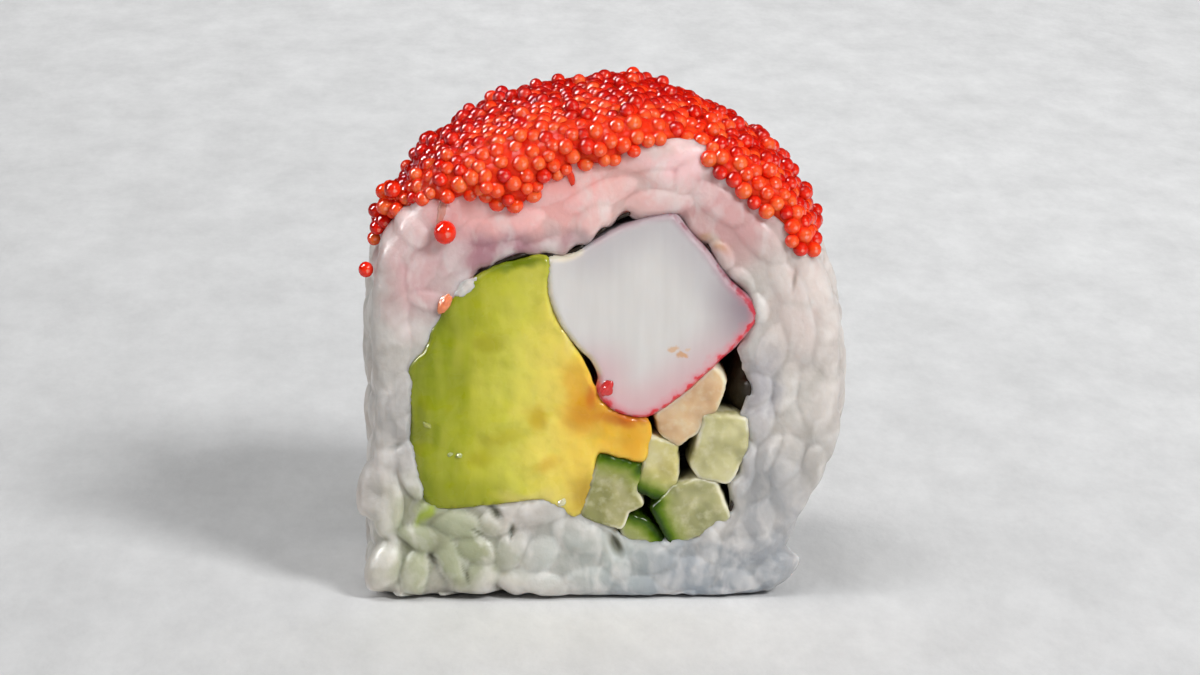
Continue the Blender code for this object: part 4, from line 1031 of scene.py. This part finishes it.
def cucumber_finish(name, cut, tint, strength, seep):
    """Wet cucumber whose flesh has that tint, darker where it is clear, and whose cut end is at y = -cut."""
    material, tree, shader = new_finish(
        name, Roughness=0.25, IOR=1.36, Specular_IOR_Level=0.3, Subsurface_Weight=0.7,
        Subsurface_Radius=(1.0, 0.9, 0.5), Subsurface_Scale=1.8 * MM, Coat_Weight=0.3, Coat_Roughness=0.06,
        Coat_IOR=1.36)
    place = node(tree, "ShaderNodeTexCoord").outputs["Object"]
    # Watery cells are 0.7 mm wide, drawn coarser than real so that they show, and seeds about 2.4 mm
    cells = node(tree, "ShaderNodeTexNoise", {"Vector": place, "Scale": 1 / (0.7 * MM), "Detail": 4.0})
    pulp = node(tree, "ShaderNodeTexNoise", {"Vector": place, "Scale": 1 / (2.4 * MM), "Detail": 1.5})
    skin = node(tree, "ShaderNodeAttribute", attribute_name="from_skin").outputs["Fac"]
    skin = node(tree, "ShaderNodeMath", {0: skin, 1: 1 / SKIN_FADE}, operation="MULTIPLY")
    wavy = node(tree, "ShaderNodeMath", {0: cells, 1: 0.16, 2: -0.08}, operation="MULTIPLY_ADD")
    skin = node(tree, "ShaderNodeMath", {0: skin, 1: wavy}, operation="ADD")
    ramp = node(tree, "ShaderNodeValToRGB", {"Fac": skin})
    set_steps(ramp.color_ramp, CUCUMBER_FLESH)
    colour = tinted(tree, ramp, linear(tint), skin, 0.3, 0.9, strength)
    # The flesh away from the skin: clear spots, seeds, the pale rim of the cut, broken in places, which is
    # partly drier flesh and partly a painted highlight on the edge, and fibres
    rim = node(tree, "ShaderNodeAttribute", attribute_name="from_rim").outputs["Fac"]
    rim = node(tree, "ShaderNodeMapRange", {"Value": rim, 1: 0.36, 2: 0.06}, interpolation_type="SMOOTHSTEP")
    broken = node(tree, "ShaderNodeMapRange", {"Value": pulp, 1: 0.38, 2: 0.60})
    rim = node(tree, "ShaderNodeMath", {0: rim, 1: broken}, operation="MULTIPLY")
    bare = node(tree, "ShaderNodeMapRange", {"Value": skin, 1: 0.35, 2: 0.8})
    for flesh, field, none_at, full_at, amount in (
            (seep, pulp, 0.62, 0.25, 0.55), ("E0DAB8", pulp, 0.5, 0.75, 0.35),
            ("ECE6CC", rim, 0.0, 1.0, 0.8), ("E6E0C4", cells, 0.48, 0.72, 0.30)):
        shown = node(tree, "ShaderNodeMapRange", {"Value": field, 1: none_at, 2: full_at, 4: amount})
        shown = node(tree, "ShaderNodeMath", {0: shown, 1: bare}, operation="MULTIPLY")
        colour = node(tree, "ShaderNodeMix", {MIX_SHARE: shown, MIX_FIRST: colour, MIX_SECOND: linear(flesh)},
                      data_type="RGBA")
    # Painted shade: between the batons, behind the cut, the flesh is darkened
    depth = node(tree, "ShaderNodeSeparateXYZ", {"Vector": place}).outputs["Y"]
    depth = node(tree, "ShaderNodeMath", {0: depth}, operation="ABSOLUTE")
    colour = tinted(tree, colour, linear("2C240E"), depth, (cut - 0.4) * MM, (cut - 4.0) * MM, 0.9)
    surfaced(tree, shader, colour, cells, 0.2, 0.15)
    return material


for name, (corners, recess, skin_side) in CUCUMBERS.items():
    loop = rounded_loop(corners, CUCUMBER_CORNER, 110)
    rough = 0.10 * unevenness(at_depth(loop, 0.0), 0.9, 53)
    loop += outward(loop) * (PRESSED_OUT + rough)[:, None]
    baton, baton_points = cut_piece(
        name + "_baton", loop, recess, CUCUMBER_EDGE, spacing=0.24, relief=cucumber_relief, side_relief=0.06,
        swell=CUCUMBER_SWELL)
    plane = baton_points[:, [0, 2]]
    skin = np.full(len(plane), NO_SKIN)
    if skin_side:
        skin = distance_to(along_line(skin_side, 60), plane)
    mark(baton, "from_skin", skin)
    mark(baton, "from_rim", distance_to(loop, plane))
    finish = cucumber_finish(name + "_flesh", SLICE_DEPTH / 2 - recess, *CUCUMBER_TINTS[name])
    dress(baton, finish, "cucumber", name)


# The cap of roe
# Flying-fish roe, spooned and pressed over the top of the roll: thousands of tiny eggs, each a thin
# clear skin round red-orange oil, held by their own juice. They hang over both cuts in an uneven hem.

# Where the cap ends at the left and at the right
ROE_LEFT_X, ROE_RIGHT_X = -18.9, 18.0
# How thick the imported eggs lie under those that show: x and thickness
ROE_BED_THICKNESS = [
    (-19.0, 0.2), (-17.0, 0.7), (-14.0, 1.5), (-9.0, 1.5), (0.0, 1.35), (12.0, 1.0), (18.5, 0.3),
]
# How far the cap hangs down over the front cut: x and how far
ROE_FRONT_LIP = [
    (-19.0, -4.7), (-17.5, -2.2), (-14.6, 0.4), (-11.8, 1.0), (-10.4, 3.2), (-8.4, 3.3), (-6.9, 2.6),
    (-5.4, 1.8), (-3.0, 0.8), (-0.6, 1.3), (1.0, 0.9), (5.2, -0.7), (7.3, -1.6), (9.2, -0.1),
    (14.4, 0.5), (16.3, 0.0), (17.4, 0.2), (18.5, -1.0),
]
# How far it hangs over the back cut, and how much that varies
ROE_BACK_LIP, ROE_BACK_WAVE = 0.2, 1.3


def outline_index(x):
    """The outline point above the tunnel's centre that is nearest to x."""
    high = np.where(CORE_LOOP[:, 1] > TUNNEL_CENTRE[1])[0]
    return high[np.argmin(np.abs(CORE_LOOP[high, 0] - x))]


def looked_up(table, x):
    """The table's value at x, between its rows."""
    known = np.array(table)
    return np.interp(x, known[:, 0], known[:, 1])


def back_lip(x):
    """How far the cap hangs over the back cut at x."""
    return ROE_BACK_LIP + ROE_BACK_WAVE * np.sin(x / 2.3) * np.cos(x / 5.1)


# How far from the front cut the right end of the cap starts to be bare, over how much that grows, and how
# wide it gets, as a share of the cap's width
HEM_STARTS, HEM_GROWS, HEM_BARE = 2.0, 3.0, 0.035


def side_hem(across):
    """The share of the cap's width that is bare at its right side, from the front cut to the back one."""
    wave = 0.5 + 0.5 * np.sin(across / 2.1) + 0.3 * np.sin(across / 0.9 + 1)
    return HEM_BARE * np.clip((across - HEM_STARTS) / HEM_GROWS, 0, 1) * np.clip(wave, 0, None)


ROE_LEFT, ROE_RIGHT = outline_index(ROE_LEFT_X), outline_index(ROE_RIGHT_X)
# The bed's grid, along the roll's outline and across the slice
BED_ALONG, BED_ACROSS = 150, 90
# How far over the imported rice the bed's underside lies, and its top where it tapers out
BED_UNDER, BED_OVER = 0.32, 0.36
# How far short of the eggs' hems it ends, how steeply it thickens from them, along and across, and how lumpy
# it is
BED_SHORT, BED_STEEP, BED_LUMPS = 0.5, (18, 14), 0.12


def make_roe_bed():
    """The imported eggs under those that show, as a lumpy blanket that tapers to nothing at its hems."""
    index = np.linspace(ROE_LEFT, ROE_RIGHT, BED_ALONG)[:, None]
    x = np.interp(index, np.arange(DENSE), CORE_LOOP[:, 0])
    start, end = -looked_up(ROE_FRONT_LIP, x) + BED_SHORT, SKIN_LENGTH + back_lip(x) - BED_SHORT
    share = np.linspace(0, 1, BED_ACROSS)[None, :]
    across = start + (end - start) * share
    along = np.linspace(0, 1, BED_ALONG)[:, None]
    from_ends, from_cuts = np.minimum(along, 1 - along), np.minimum(share, 1 - share)
    hem = np.minimum(from_ends * BED_STEEP[0], from_cuts * BED_STEEP[1])
    hem = np.sqrt(np.clip(hem, 0, 1))
    thick = looked_up(ROE_BED_THICKNESS, x) * hem
    index = index + (ROE_LEFT - ROE_RIGHT) * side_hem(across) * along
    base, _ = on_skin(index, across, BED_UNDER)
    lumps = BED_LUMPS * unevenness(base, 0.8, 61)
    outer, _ = on_skin(index, across, BED_OVER + np.maximum(thick + lumps * hem, 0.02))
    points = np.concatenate([outer.reshape(-1, 3), base.reshape(-1, 3)])
    half = BED_ALONG * BED_ACROSS

    def at(i, j, layer):
        return layer * half + i * BED_ACROSS + j

    faces = []
    for i in range(BED_ALONG - 1):
        for j in range(BED_ACROSS - 1):
            faces.append((at(i, j, 0), at(i, j + 1, 0), at(i + 1, j + 1, 0), at(i + 1, j, 0)))
            faces.append((at(i, j, 1), at(i + 1, j, 1), at(i + 1, j + 1, 1), at(i, j + 1, 1)))
    for i in range(BED_ALONG - 1):
        for j in (0, BED_ACROSS - 1):
            faces.append((at(i, j, 0), at(i + 1, j, 0), at(i + 1, j, 1), at(i, j, 1)))
    for j in range(BED_ACROSS - 1):
        for i in (0, BED_ALONG - 1):
            faces.append((at(i, j, 0), at(i, j + 1, 0), at(i, j + 1, 1), at(i, j, 1)))
    return mesh_piece("roe_bed", points, faces)


# An egg's usual radius, and the share by which it varies
EGG_RADIUS, EGG_SPREAD = 0.71, 0.16
EGG_LAYERS = [
    # how far the layer lies above the bed, how close its eggs lie, in shares of their radii, and tries
    (0.0, 1.42, 16000), (0.60, 1.60, 7000),
]
# How far inside the hem's line an egg's middle keeps, as a share of its radius and of its layer's height
EGG_INSIDE = 0.6
# How far over the bed the eggs' middles lie, how much that varies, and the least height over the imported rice
EGG_LIFT, LIFT_STRAY, EGG_LOWEST = 0.1, 0.12, 0.55
# The share of the bed's thickness that is there at the hem, and the distance that adds a whole one
HEM_THIN, HEM_GAIN = 0.35, 2.0
# How far out of round an egg is pressed
EGG_PRESSED = 0.06
# How many times a ball's net is cut each way: fine enough to look round at an egg's size
EGG_CUTS = 4
# The eggs of the hem at the left end that can be told apart: x, y, z and radius
END_EGGS = [
    (-18.5, -9.2, 36.6, 0.80), (-19.2, -8.4, 34.9, 0.76), (-19.9, -8.0, 33.0, 0.66),
    (-19.3, -6.9, 36.0, 0.74), (-20.0, -6.4, 34.2, 0.70), (-20.2, -7.4, 31.9, 0.62),
]
# Light that has crossed an egg gathers on the far side of it and shows as a paler spot there, seen from
# the front and from behind alike: where it lies, and how far that strays
GLOW_SIDE, GLOW_STRAY = (0.28, -0.94, -0.09), 0.15


def egg_shape(cuts=EGG_CUTS):
    """A cube's net blown up to a ball, which has even, four-sided faces."""
    shape = bmesh.new()
    bmesh.ops.create_cube(shape, size=2.0)
    bmesh.ops.subdivide_edges(shape, edges=shape.edges, cuts=cuts - 1, use_grid_fill=True)
    points = np.array([v.co for v in shape.verts])
    points = np.tan(points * math.pi / 4)
    points /= np.linalg.norm(points, axis=1, keepdims=True)
    shape.verts.index_update()
    faces = np.array([[v.index for v in f.verts] for f in shape.faces])
    shape.free()
    return points, faces


def scattered_eggs():
    """Each egg's middle and radius, layer by layer, none much into another."""
    rng = random.Random(21)
    places, radii = np.empty((0, 3)), np.empty(0)
    for above, closeness, tries in EGG_LAYERS:
        for _ in range(tries):
            index = rng.uniform(ROE_LEFT, ROE_RIGHT)
            x = float(np.interp(index, np.arange(DENSE), CORE_LOOP[:, 0]))
            radius = EGG_RADIUS * (1 + rng.uniform(-EGG_SPREAD, EGG_SPREAD))
            start = -looked_up(ROE_FRONT_LIP, x) + radius * EGG_INSIDE + above * EGG_INSIDE
            end = SKIN_LENGTH + back_lip(x) - radius * EGG_INSIDE - above * EGG_INSIDE
            across = rng.uniform(start, end)
            near_hem = min(across - start, end - across)
            bed = looked_up(ROE_BED_THICKNESS, x) * min(1.0, HEM_THIN + near_hem / HEM_GAIN)
            lift = EGG_LIFT + bed + above * min(1.0, near_hem) + rng.uniform(-LIFT_STRAY, LIFT_STRAY)
            place, _ = on_skin(index, across, max(lift, EGG_LOWEST))
            if (index - ROE_RIGHT) / (ROE_LEFT - ROE_RIGHT) < side_hem(across):
                continue
            if len(radii):
                reach = closeness * 0.5 * (radii + radius)
                if (np.sum((places - place) ** 2, axis=1) < reach**2).any():
                    continue
            places = np.vstack([places, place])
            radii = np.append(radii, radius)
    return places, radii


def make_eggs(name, places, radii, seed):
    """One piece with an egg at each place, each turned and pressed a little out of round."""
    points, faces = egg_shape()
    rng = np.random.default_rng(seed)
    turned, glow = [], []
    for place, radius in zip(places, radii):
        turn = np.array(Euler(rng.uniform(0, 2 * math.pi, 3)).to_matrix())
        press = 1 + rng.uniform(-EGG_PRESSED, EGG_PRESSED, 3)
        turned.append((points * press) @ turn.T * radius + place)
        glowing = Vector(GLOW_SIDE) + Vector(rng.uniform(-GLOW_STRAY, GLOW_STRAY, 3))
        facing = np.array(glowing.normalized())
        glow.append(np.maximum(points @ turn.T @ facing, points @ turn.T @ (facing * [1, -1, 1])))
    every = np.concatenate([faces + k * len(points) for k in range(len(places))])
    piece = mesh_piece(name, np.concatenate(turned), every.tolist())
    mark(piece, "egg_shade", np.repeat(rng.uniform(0, 1, len(places)), len(points)))
    mark(piece, "glow", np.concatenate(glow))
    return piece


# Raw fish eggs: a clear wet skin full of red-orange oil. Light passes through and glows in the far
# side, so each has a small sharp highlight, which its clear skin alone gives, and a paler spot inside.
def egg_finish(name, rim, deep, bright, clearness):
    """Eggs whose middles vary from deep to bright, and whose shaded side has the rim's colour."""
    material, tree, shader = new_finish(
        name, Roughness=0.08, IOR=1.38, Specular_IOR_Level=0.0, Transmission_Weight=clearness,
        Subsurface_Weight=0.6, Subsurface_Radius=(1.0, 0.2, 0.06), Subsurface_Scale=0.35 * MM,
        Coat_Weight=1.0, Coat_Roughness=0.05, Coat_IOR=1.4)
    shade = node(tree, "ShaderNodeAttribute", attribute_name="egg_shade").outputs["Fac"]
    glow = node(tree, "ShaderNodeAttribute", attribute_name="glow").outputs["Fac"]
    colour = tinted(tree, linear(deep), linear(bright), shade, 0.0, 1.0)
    colour = tinted(tree, colour, linear(rim), glow, 0.9, 0.3, 0.85, soft=True)
    colour = tinted(tree, colour, linear("FFA088"), glow, 0.925, 0.985, 0.8, soft=True)
    tree.links.new(colour.outputs[2], shader.inputs["Base Color"])
    return material


# The eggs under them are seen as a moist glowing mass, with lumps of an egg's size
bed_finish, tree, shader = new_finish(
    "packed_roe", Roughness=0.35, IOR=1.38, Specular_IOR_Level=0.15, Subsurface_Weight=0.8,
    Subsurface_Radius=(1.0, 0.25, 0.08), Subsurface_Scale=1.0 * MM)
place = node(tree, "ShaderNodeTexCoord").outputs["Object"]
lumps = node(tree, "ShaderNodeTexVoronoi", {"Vector": place, "Scale": 1 / (1.2 * MM)})
colour = tinted(tree, linear("FF4618"), linear("E81C0C"), lumps, 0.0, 1.0)
surfaced(tree, shader, colour, lumps, 0.8, 0.5, invert=True)
dress(make_roe_bed(), bed_finish, "roe", "roe")

egg_places, egg_radii = scattered_eggs()
# Those at the left end stand up to half a millimetre clear of the rice
egg_places[:, 0] -= 0.5 * np.clip((-16.0 - egg_places[:, 0]) / 2.0, 0, 1)
egg_places = np.vstack([egg_places, [egg[:3] for egg in END_EGGS]])
egg_radii = np.append(egg_radii, [egg[3] for egg in END_EGGS])
# Partly painted light: the share of the paler eggs rises in front of the middle, where the thin hem glows
# over the pale rice, and its least share is the eggs' own mix. From where, over how much, from what and by
# what
PALE_FROM, PALE_OVER, PALE_LEAST, PALE_RISE = 4.0, 9.0, 0.15, 0.75
front_share = np.clip((-egg_places[:, 1] - PALE_FROM) / PALE_OVER, 0, 1)
pick = np.random.default_rng(5).uniform(0, 1, len(egg_radii)) < PALE_LEAST + PALE_RISE * front_share
dress(make_eggs("roe_orange_eggs", egg_places[pick], egg_radii[pick], 1),
      egg_finish("orange_roe", "FA260C", "FF4A1A", "FF7436", 0.05), "roe", "roe")
dress(make_eggs("roe_red_eggs", egg_places[~pick], egg_radii[~pick], 2),
      egg_finish("red_roe", "B80C06", "E01C0A", "F43416", 0.05), "roe", "roe")

# Two eggs that fell off the cap and stuck to the rice: x, y, z and radius
LOOSE_EGGS = {"roe_pearl_front": (-14.0, -12.75, 33.4, 1.05), "roe_pearl_side": (-20.9, -9.8, 29.6, 0.7)}
for name, (x, y, z, radius) in LOOSE_EGGS.items():
    loose = make_eggs(name + "_egg", np.array([[x, y, z]]), np.array([radius]), 3)
    dress(loose, egg_finish(name + "_skin", "F01808", "FF3014", "FF4A24", 0.15), "roe", name)


# Crumbs and drips
# What the knife and the fingers left on the cut: a crumb and a nub of the crab stick's dyed skin, a smear
# of its paste, a fleck and beads of juice on the avocado, and two drips of the roe's juice.

CRUMBS = {
    # x, z, how far out, length, width, thickness, turn in degrees, slot, colour
    "salmon_crumb": (-14.1, 26.9, 11.95, 1.9, 1.0, 0.9, 65, "crab_stick", "FF9A6C"),
    "paste_smear": (-12.2, 28.3, 11.80, 2.4, 1.1, 0.45, 38, "crab_stick", "ECE4DE"),
    "cream_fleck": (-3.9, 8.9, 11.82, 0.9, 0.6, 0.45, 40, "avocado", "E8E0BC"),
    # painted highlight: the beads' pale colour stands for wet glints on the avocado, on top of their own gloss
    "juice_bead": (-15.7, 16.1, 11.88, 0.9, 0.45, 0.4, -35, "avocado", "B8BC6C"),
    "juice_bead_right": (-12.9, 13.3, 11.84, 0.55, 0.45, 0.4, 0, "avocado", "BCC488"),
    "juice_bead_left": (-13.7, 13.4, 11.82, 0.6, 0.4, 0.35, 20, "avocado", "B4BC7C"),
    "red_nub": (0.1, 19.2, 11.92, 1.6, 1.1, 0.5, 50, "crab_stick", "EC4644"),
    "juice_drip": (-3.1, 38.2, 11.95, 1.8, 0.6, 0.45, 105, "roe", "FF4018"),
    "pearl_drip": (-14.3, 34.9, 11.88, 2.4, 0.8, 0.30, 80, "roe", "FFC0B0"),
}
# How finely their nets are cut, how lumpy they are, and the size of the lumps as a share of a crumb
CRUMB_CUTS, CRUMB_LUMPS, CRUMB_LUMP_SIZE = 16, 0.25, 0.9
# The drip above the loose egg is a film that partly shows the rice, and the others are cloudy
CLEARNESS = {"pearl_drip": 0.35}


# Bits of soft food and their juice: translucent and wet, with their colour a little uneven.
def crumb_finish(name, hex_colour):
    """The finish of a crumb of that colour, with darker spots of 0.6 mm."""
    material, tree, shader = new_finish(
        name, Roughness=0.15, IOR=1.36, Transmission_Weight=CLEARNESS.get(name, 0.0), Subsurface_Weight=0.8,
        Subsurface_Radius=(1.0, 0.7, 0.6), Subsurface_Scale=0.6 * MM, Coat_Weight=0.6, Coat_Roughness=0.04,
        Coat_IOR=1.35)
    place = node(tree, "ShaderNodeTexCoord").outputs["Object"]
    mottle = node(tree, "ShaderNodeTexNoise", {"Vector": place, "Scale": 1 / (0.6 * MM), "Detail": 3.0})
    dull = tuple(0.6 * c for c in linear(hex_colour)[:3]) + (1.0,)
    colour = tinted(tree, dull, linear(hex_colour), mottle, 0.0, 1.0)
    tree.links.new(colour.outputs[2], shader.inputs["Base Color"])
    return material


for seed, (name, (x, z, out, length, width, thick, slant, slot, tone)) in enumerate(CRUMBS.items()):
    ball, ball_faces = egg_shape(CRUMB_CUTS)
    lumpy = ball * (1 + CRUMB_LUMPS * unevenness(ball, CRUMB_LUMP_SIZE, 70 + seed, 2))[:, None]
    turn, half = math.radians(slant), np.array([length, thick, width]) / 2
    lying = lumpy * half
    placed = np.stack([x + lying[:, 0] * math.cos(turn) - lying[:, 2] * math.sin(turn), lying[:, 1] - out,
                       z + lying[:, 0] * math.sin(turn) + lying[:, 2] * math.cos(turn)], axis=1)
    dress(mesh_piece(name, placed, ball_faces.tolist()), crumb_finish(name, tone), slot)


# The table and the light
# A plain pale table of trowelled plaster under soft studio light. A wide window at the front right throws
# the shadow to the left, a ceiling panel and the pale room fill it, and a long panel gives the highlights.

# Half its side in metres, so wide that no edge of it comes into view
FLOOR_HALF = 2.0
floor_mesh = bpy.data.meshes.new("table_top")
floor_mesh.from_pydata([(x * FLOOR_HALF, y * FLOOR_HALF, 0) for x, y in ((-1, -1), (1, -1), (1, 1), (-1, 1))],
                       [], [(0, 1, 2, 3)])
floor = bpy.data.objects.new("table_top", floor_mesh)
bpy.context.scene.collection.objects.link(floor)
# Trowelled plaster, dry and matt: pale grey clouds some 9 mm wide over a fine drag of the trowel. The clouds
# are drawn out towards the back, so that they look round from as low as the camera is.
floor_finish, tree, shader = new_finish("pale_plaster", Roughness=0.8, IOR=1.45)
place = node(tree, "ShaderNodeTexCoord").outputs["Object"]
drawn = node(tree, "ShaderNodeVectorMath", {0: place, 1: (1.0, 0.4, 1.0)}, operation="MULTIPLY")
mottle = node(tree, "ShaderNodeTexNoise",
              {"Vector": drawn, "Scale": 1 / (9 * MM), "Detail": 8.0, "Roughness": 0.72})
colour = tinted(tree, linear("DEDEDE"), linear("F4F4F4"), mottle, 0.3, 0.7)
# Painted shade: the light is drawn falling off, so it is a little darker towards the front left
dull = node(tree, "ShaderNodeVectorMath", {0: place, 1: (1.4, 0.51, 0.0)}, operation="DOT_PRODUCT")
colour = tinted(tree, colour, linear("DADADA"), dull.outputs["Value"], 0.18, -0.12, 0.9, blend="MULTIPLY")
trowelled = node(tree, "ShaderNodeTexNoise", {"Vector": drawn, "Scale": 1 / (1.2 * MM), "Detail": 4.0})
surfaced(tree, shader, colour, trowelled, 0.25, 0.4)
floor_mesh.materials.append(floor_finish)


def panel_light(name, place, width, height, watts, aim=(0.0, 0.0, 0.02)):
    """A soft panel at that place in metres, turned to face aim."""
    lamp = bpy.data.lights.new(name, "AREA")
    lamp.shape, lamp.energy = "RECTANGLE", watts
    lamp.size, lamp.size_y = width, height
    panel = bpy.data.objects.new(name, lamp)
    panel.location = place
    panel.rotation_euler = (Vector(aim) - Vector(place)).to_track_quat("-Z", "Y").to_euler()
    bpy.context.scene.collection.objects.link(panel)
    return panel


# The ceiling panel and the room light dull surfaces only. In gloss they would lay a grey veil on the eggs.
ceiling = panel_light("ceiling_panel", (-0.25, -0.30, 1.40), width=1.00, height=0.50, watts=6.5)
ceiling.visible_glossy = False
# The long narrow panel at the upper left draws a crescent on every wet egg. It adds no light to dull
# surfaces, so it throws no shadow.
shine = panel_light("shine_panel", (-1.00, -0.20, 1.09), width=0.34, height=1.70, watts=88.0)
shine.visible_diffuse = False
# The window: the side its light comes from, how strong it is and how wide it looks in degrees
WINDOW_SIDE, WINDOW_STRENGTH, WINDOW_WIDTH = (0.52, -0.62, 0.588), 2.20, 16.0
window = bpy.data.lights.new("window", "SUN")
window.energy, window.angle = WINDOW_STRENGTH, math.radians(WINDOW_WIDTH)
window = bpy.data.objects.new("window", window)
window.rotation_euler = Vector(WINDOW_SIDE).to_track_quat("Z", "Y").to_euler()
bpy.context.scene.collection.objects.link(window)

world = bpy.data.worlds.new("pale_room")
world.use_nodes = True
sky = world.node_tree.nodes["Background"]
sky.inputs["Color"].default_value = linear("F4F6F8")
sky.inputs["Strength"].default_value = 0.285
world.cycles_visibility.glossy = False
bpy.context.scene.world = world
bpy.context.scene.view_settings.view_transform = "Standard"

# The camera looks along the roll from a little above, as the photograph was taken
CAMERA_TURN, CAMERA_HEIGHT = math.radians(-2.5), math.radians(12)
CAMERA_AWAY, CAMERA_LENS, CAMERA_AIM = 0.42, 140.0, Vector((0.0, 0.0, 0.02125))
camera_data = bpy.data.cameras.new("camera")
camera_data.lens, camera_data.sensor_width = CAMERA_LENS, 36.0
camera = bpy.data.objects.new("camera", camera_data)
backward = Vector((math.sin(CAMERA_TURN) * math.cos(CAMERA_HEIGHT),
                   -math.cos(CAMERA_TURN) * math.cos(CAMERA_HEIGHT), math.sin(CAMERA_HEIGHT)))
camera.location = CAMERA_AIM + backward * CAMERA_AWAY
camera.rotation_euler = (-backward).to_track_quat("-Z", "Y").to_euler()
bpy.context.scene.collection.objects.link(camera)
bpy.context.scene.camera = camera
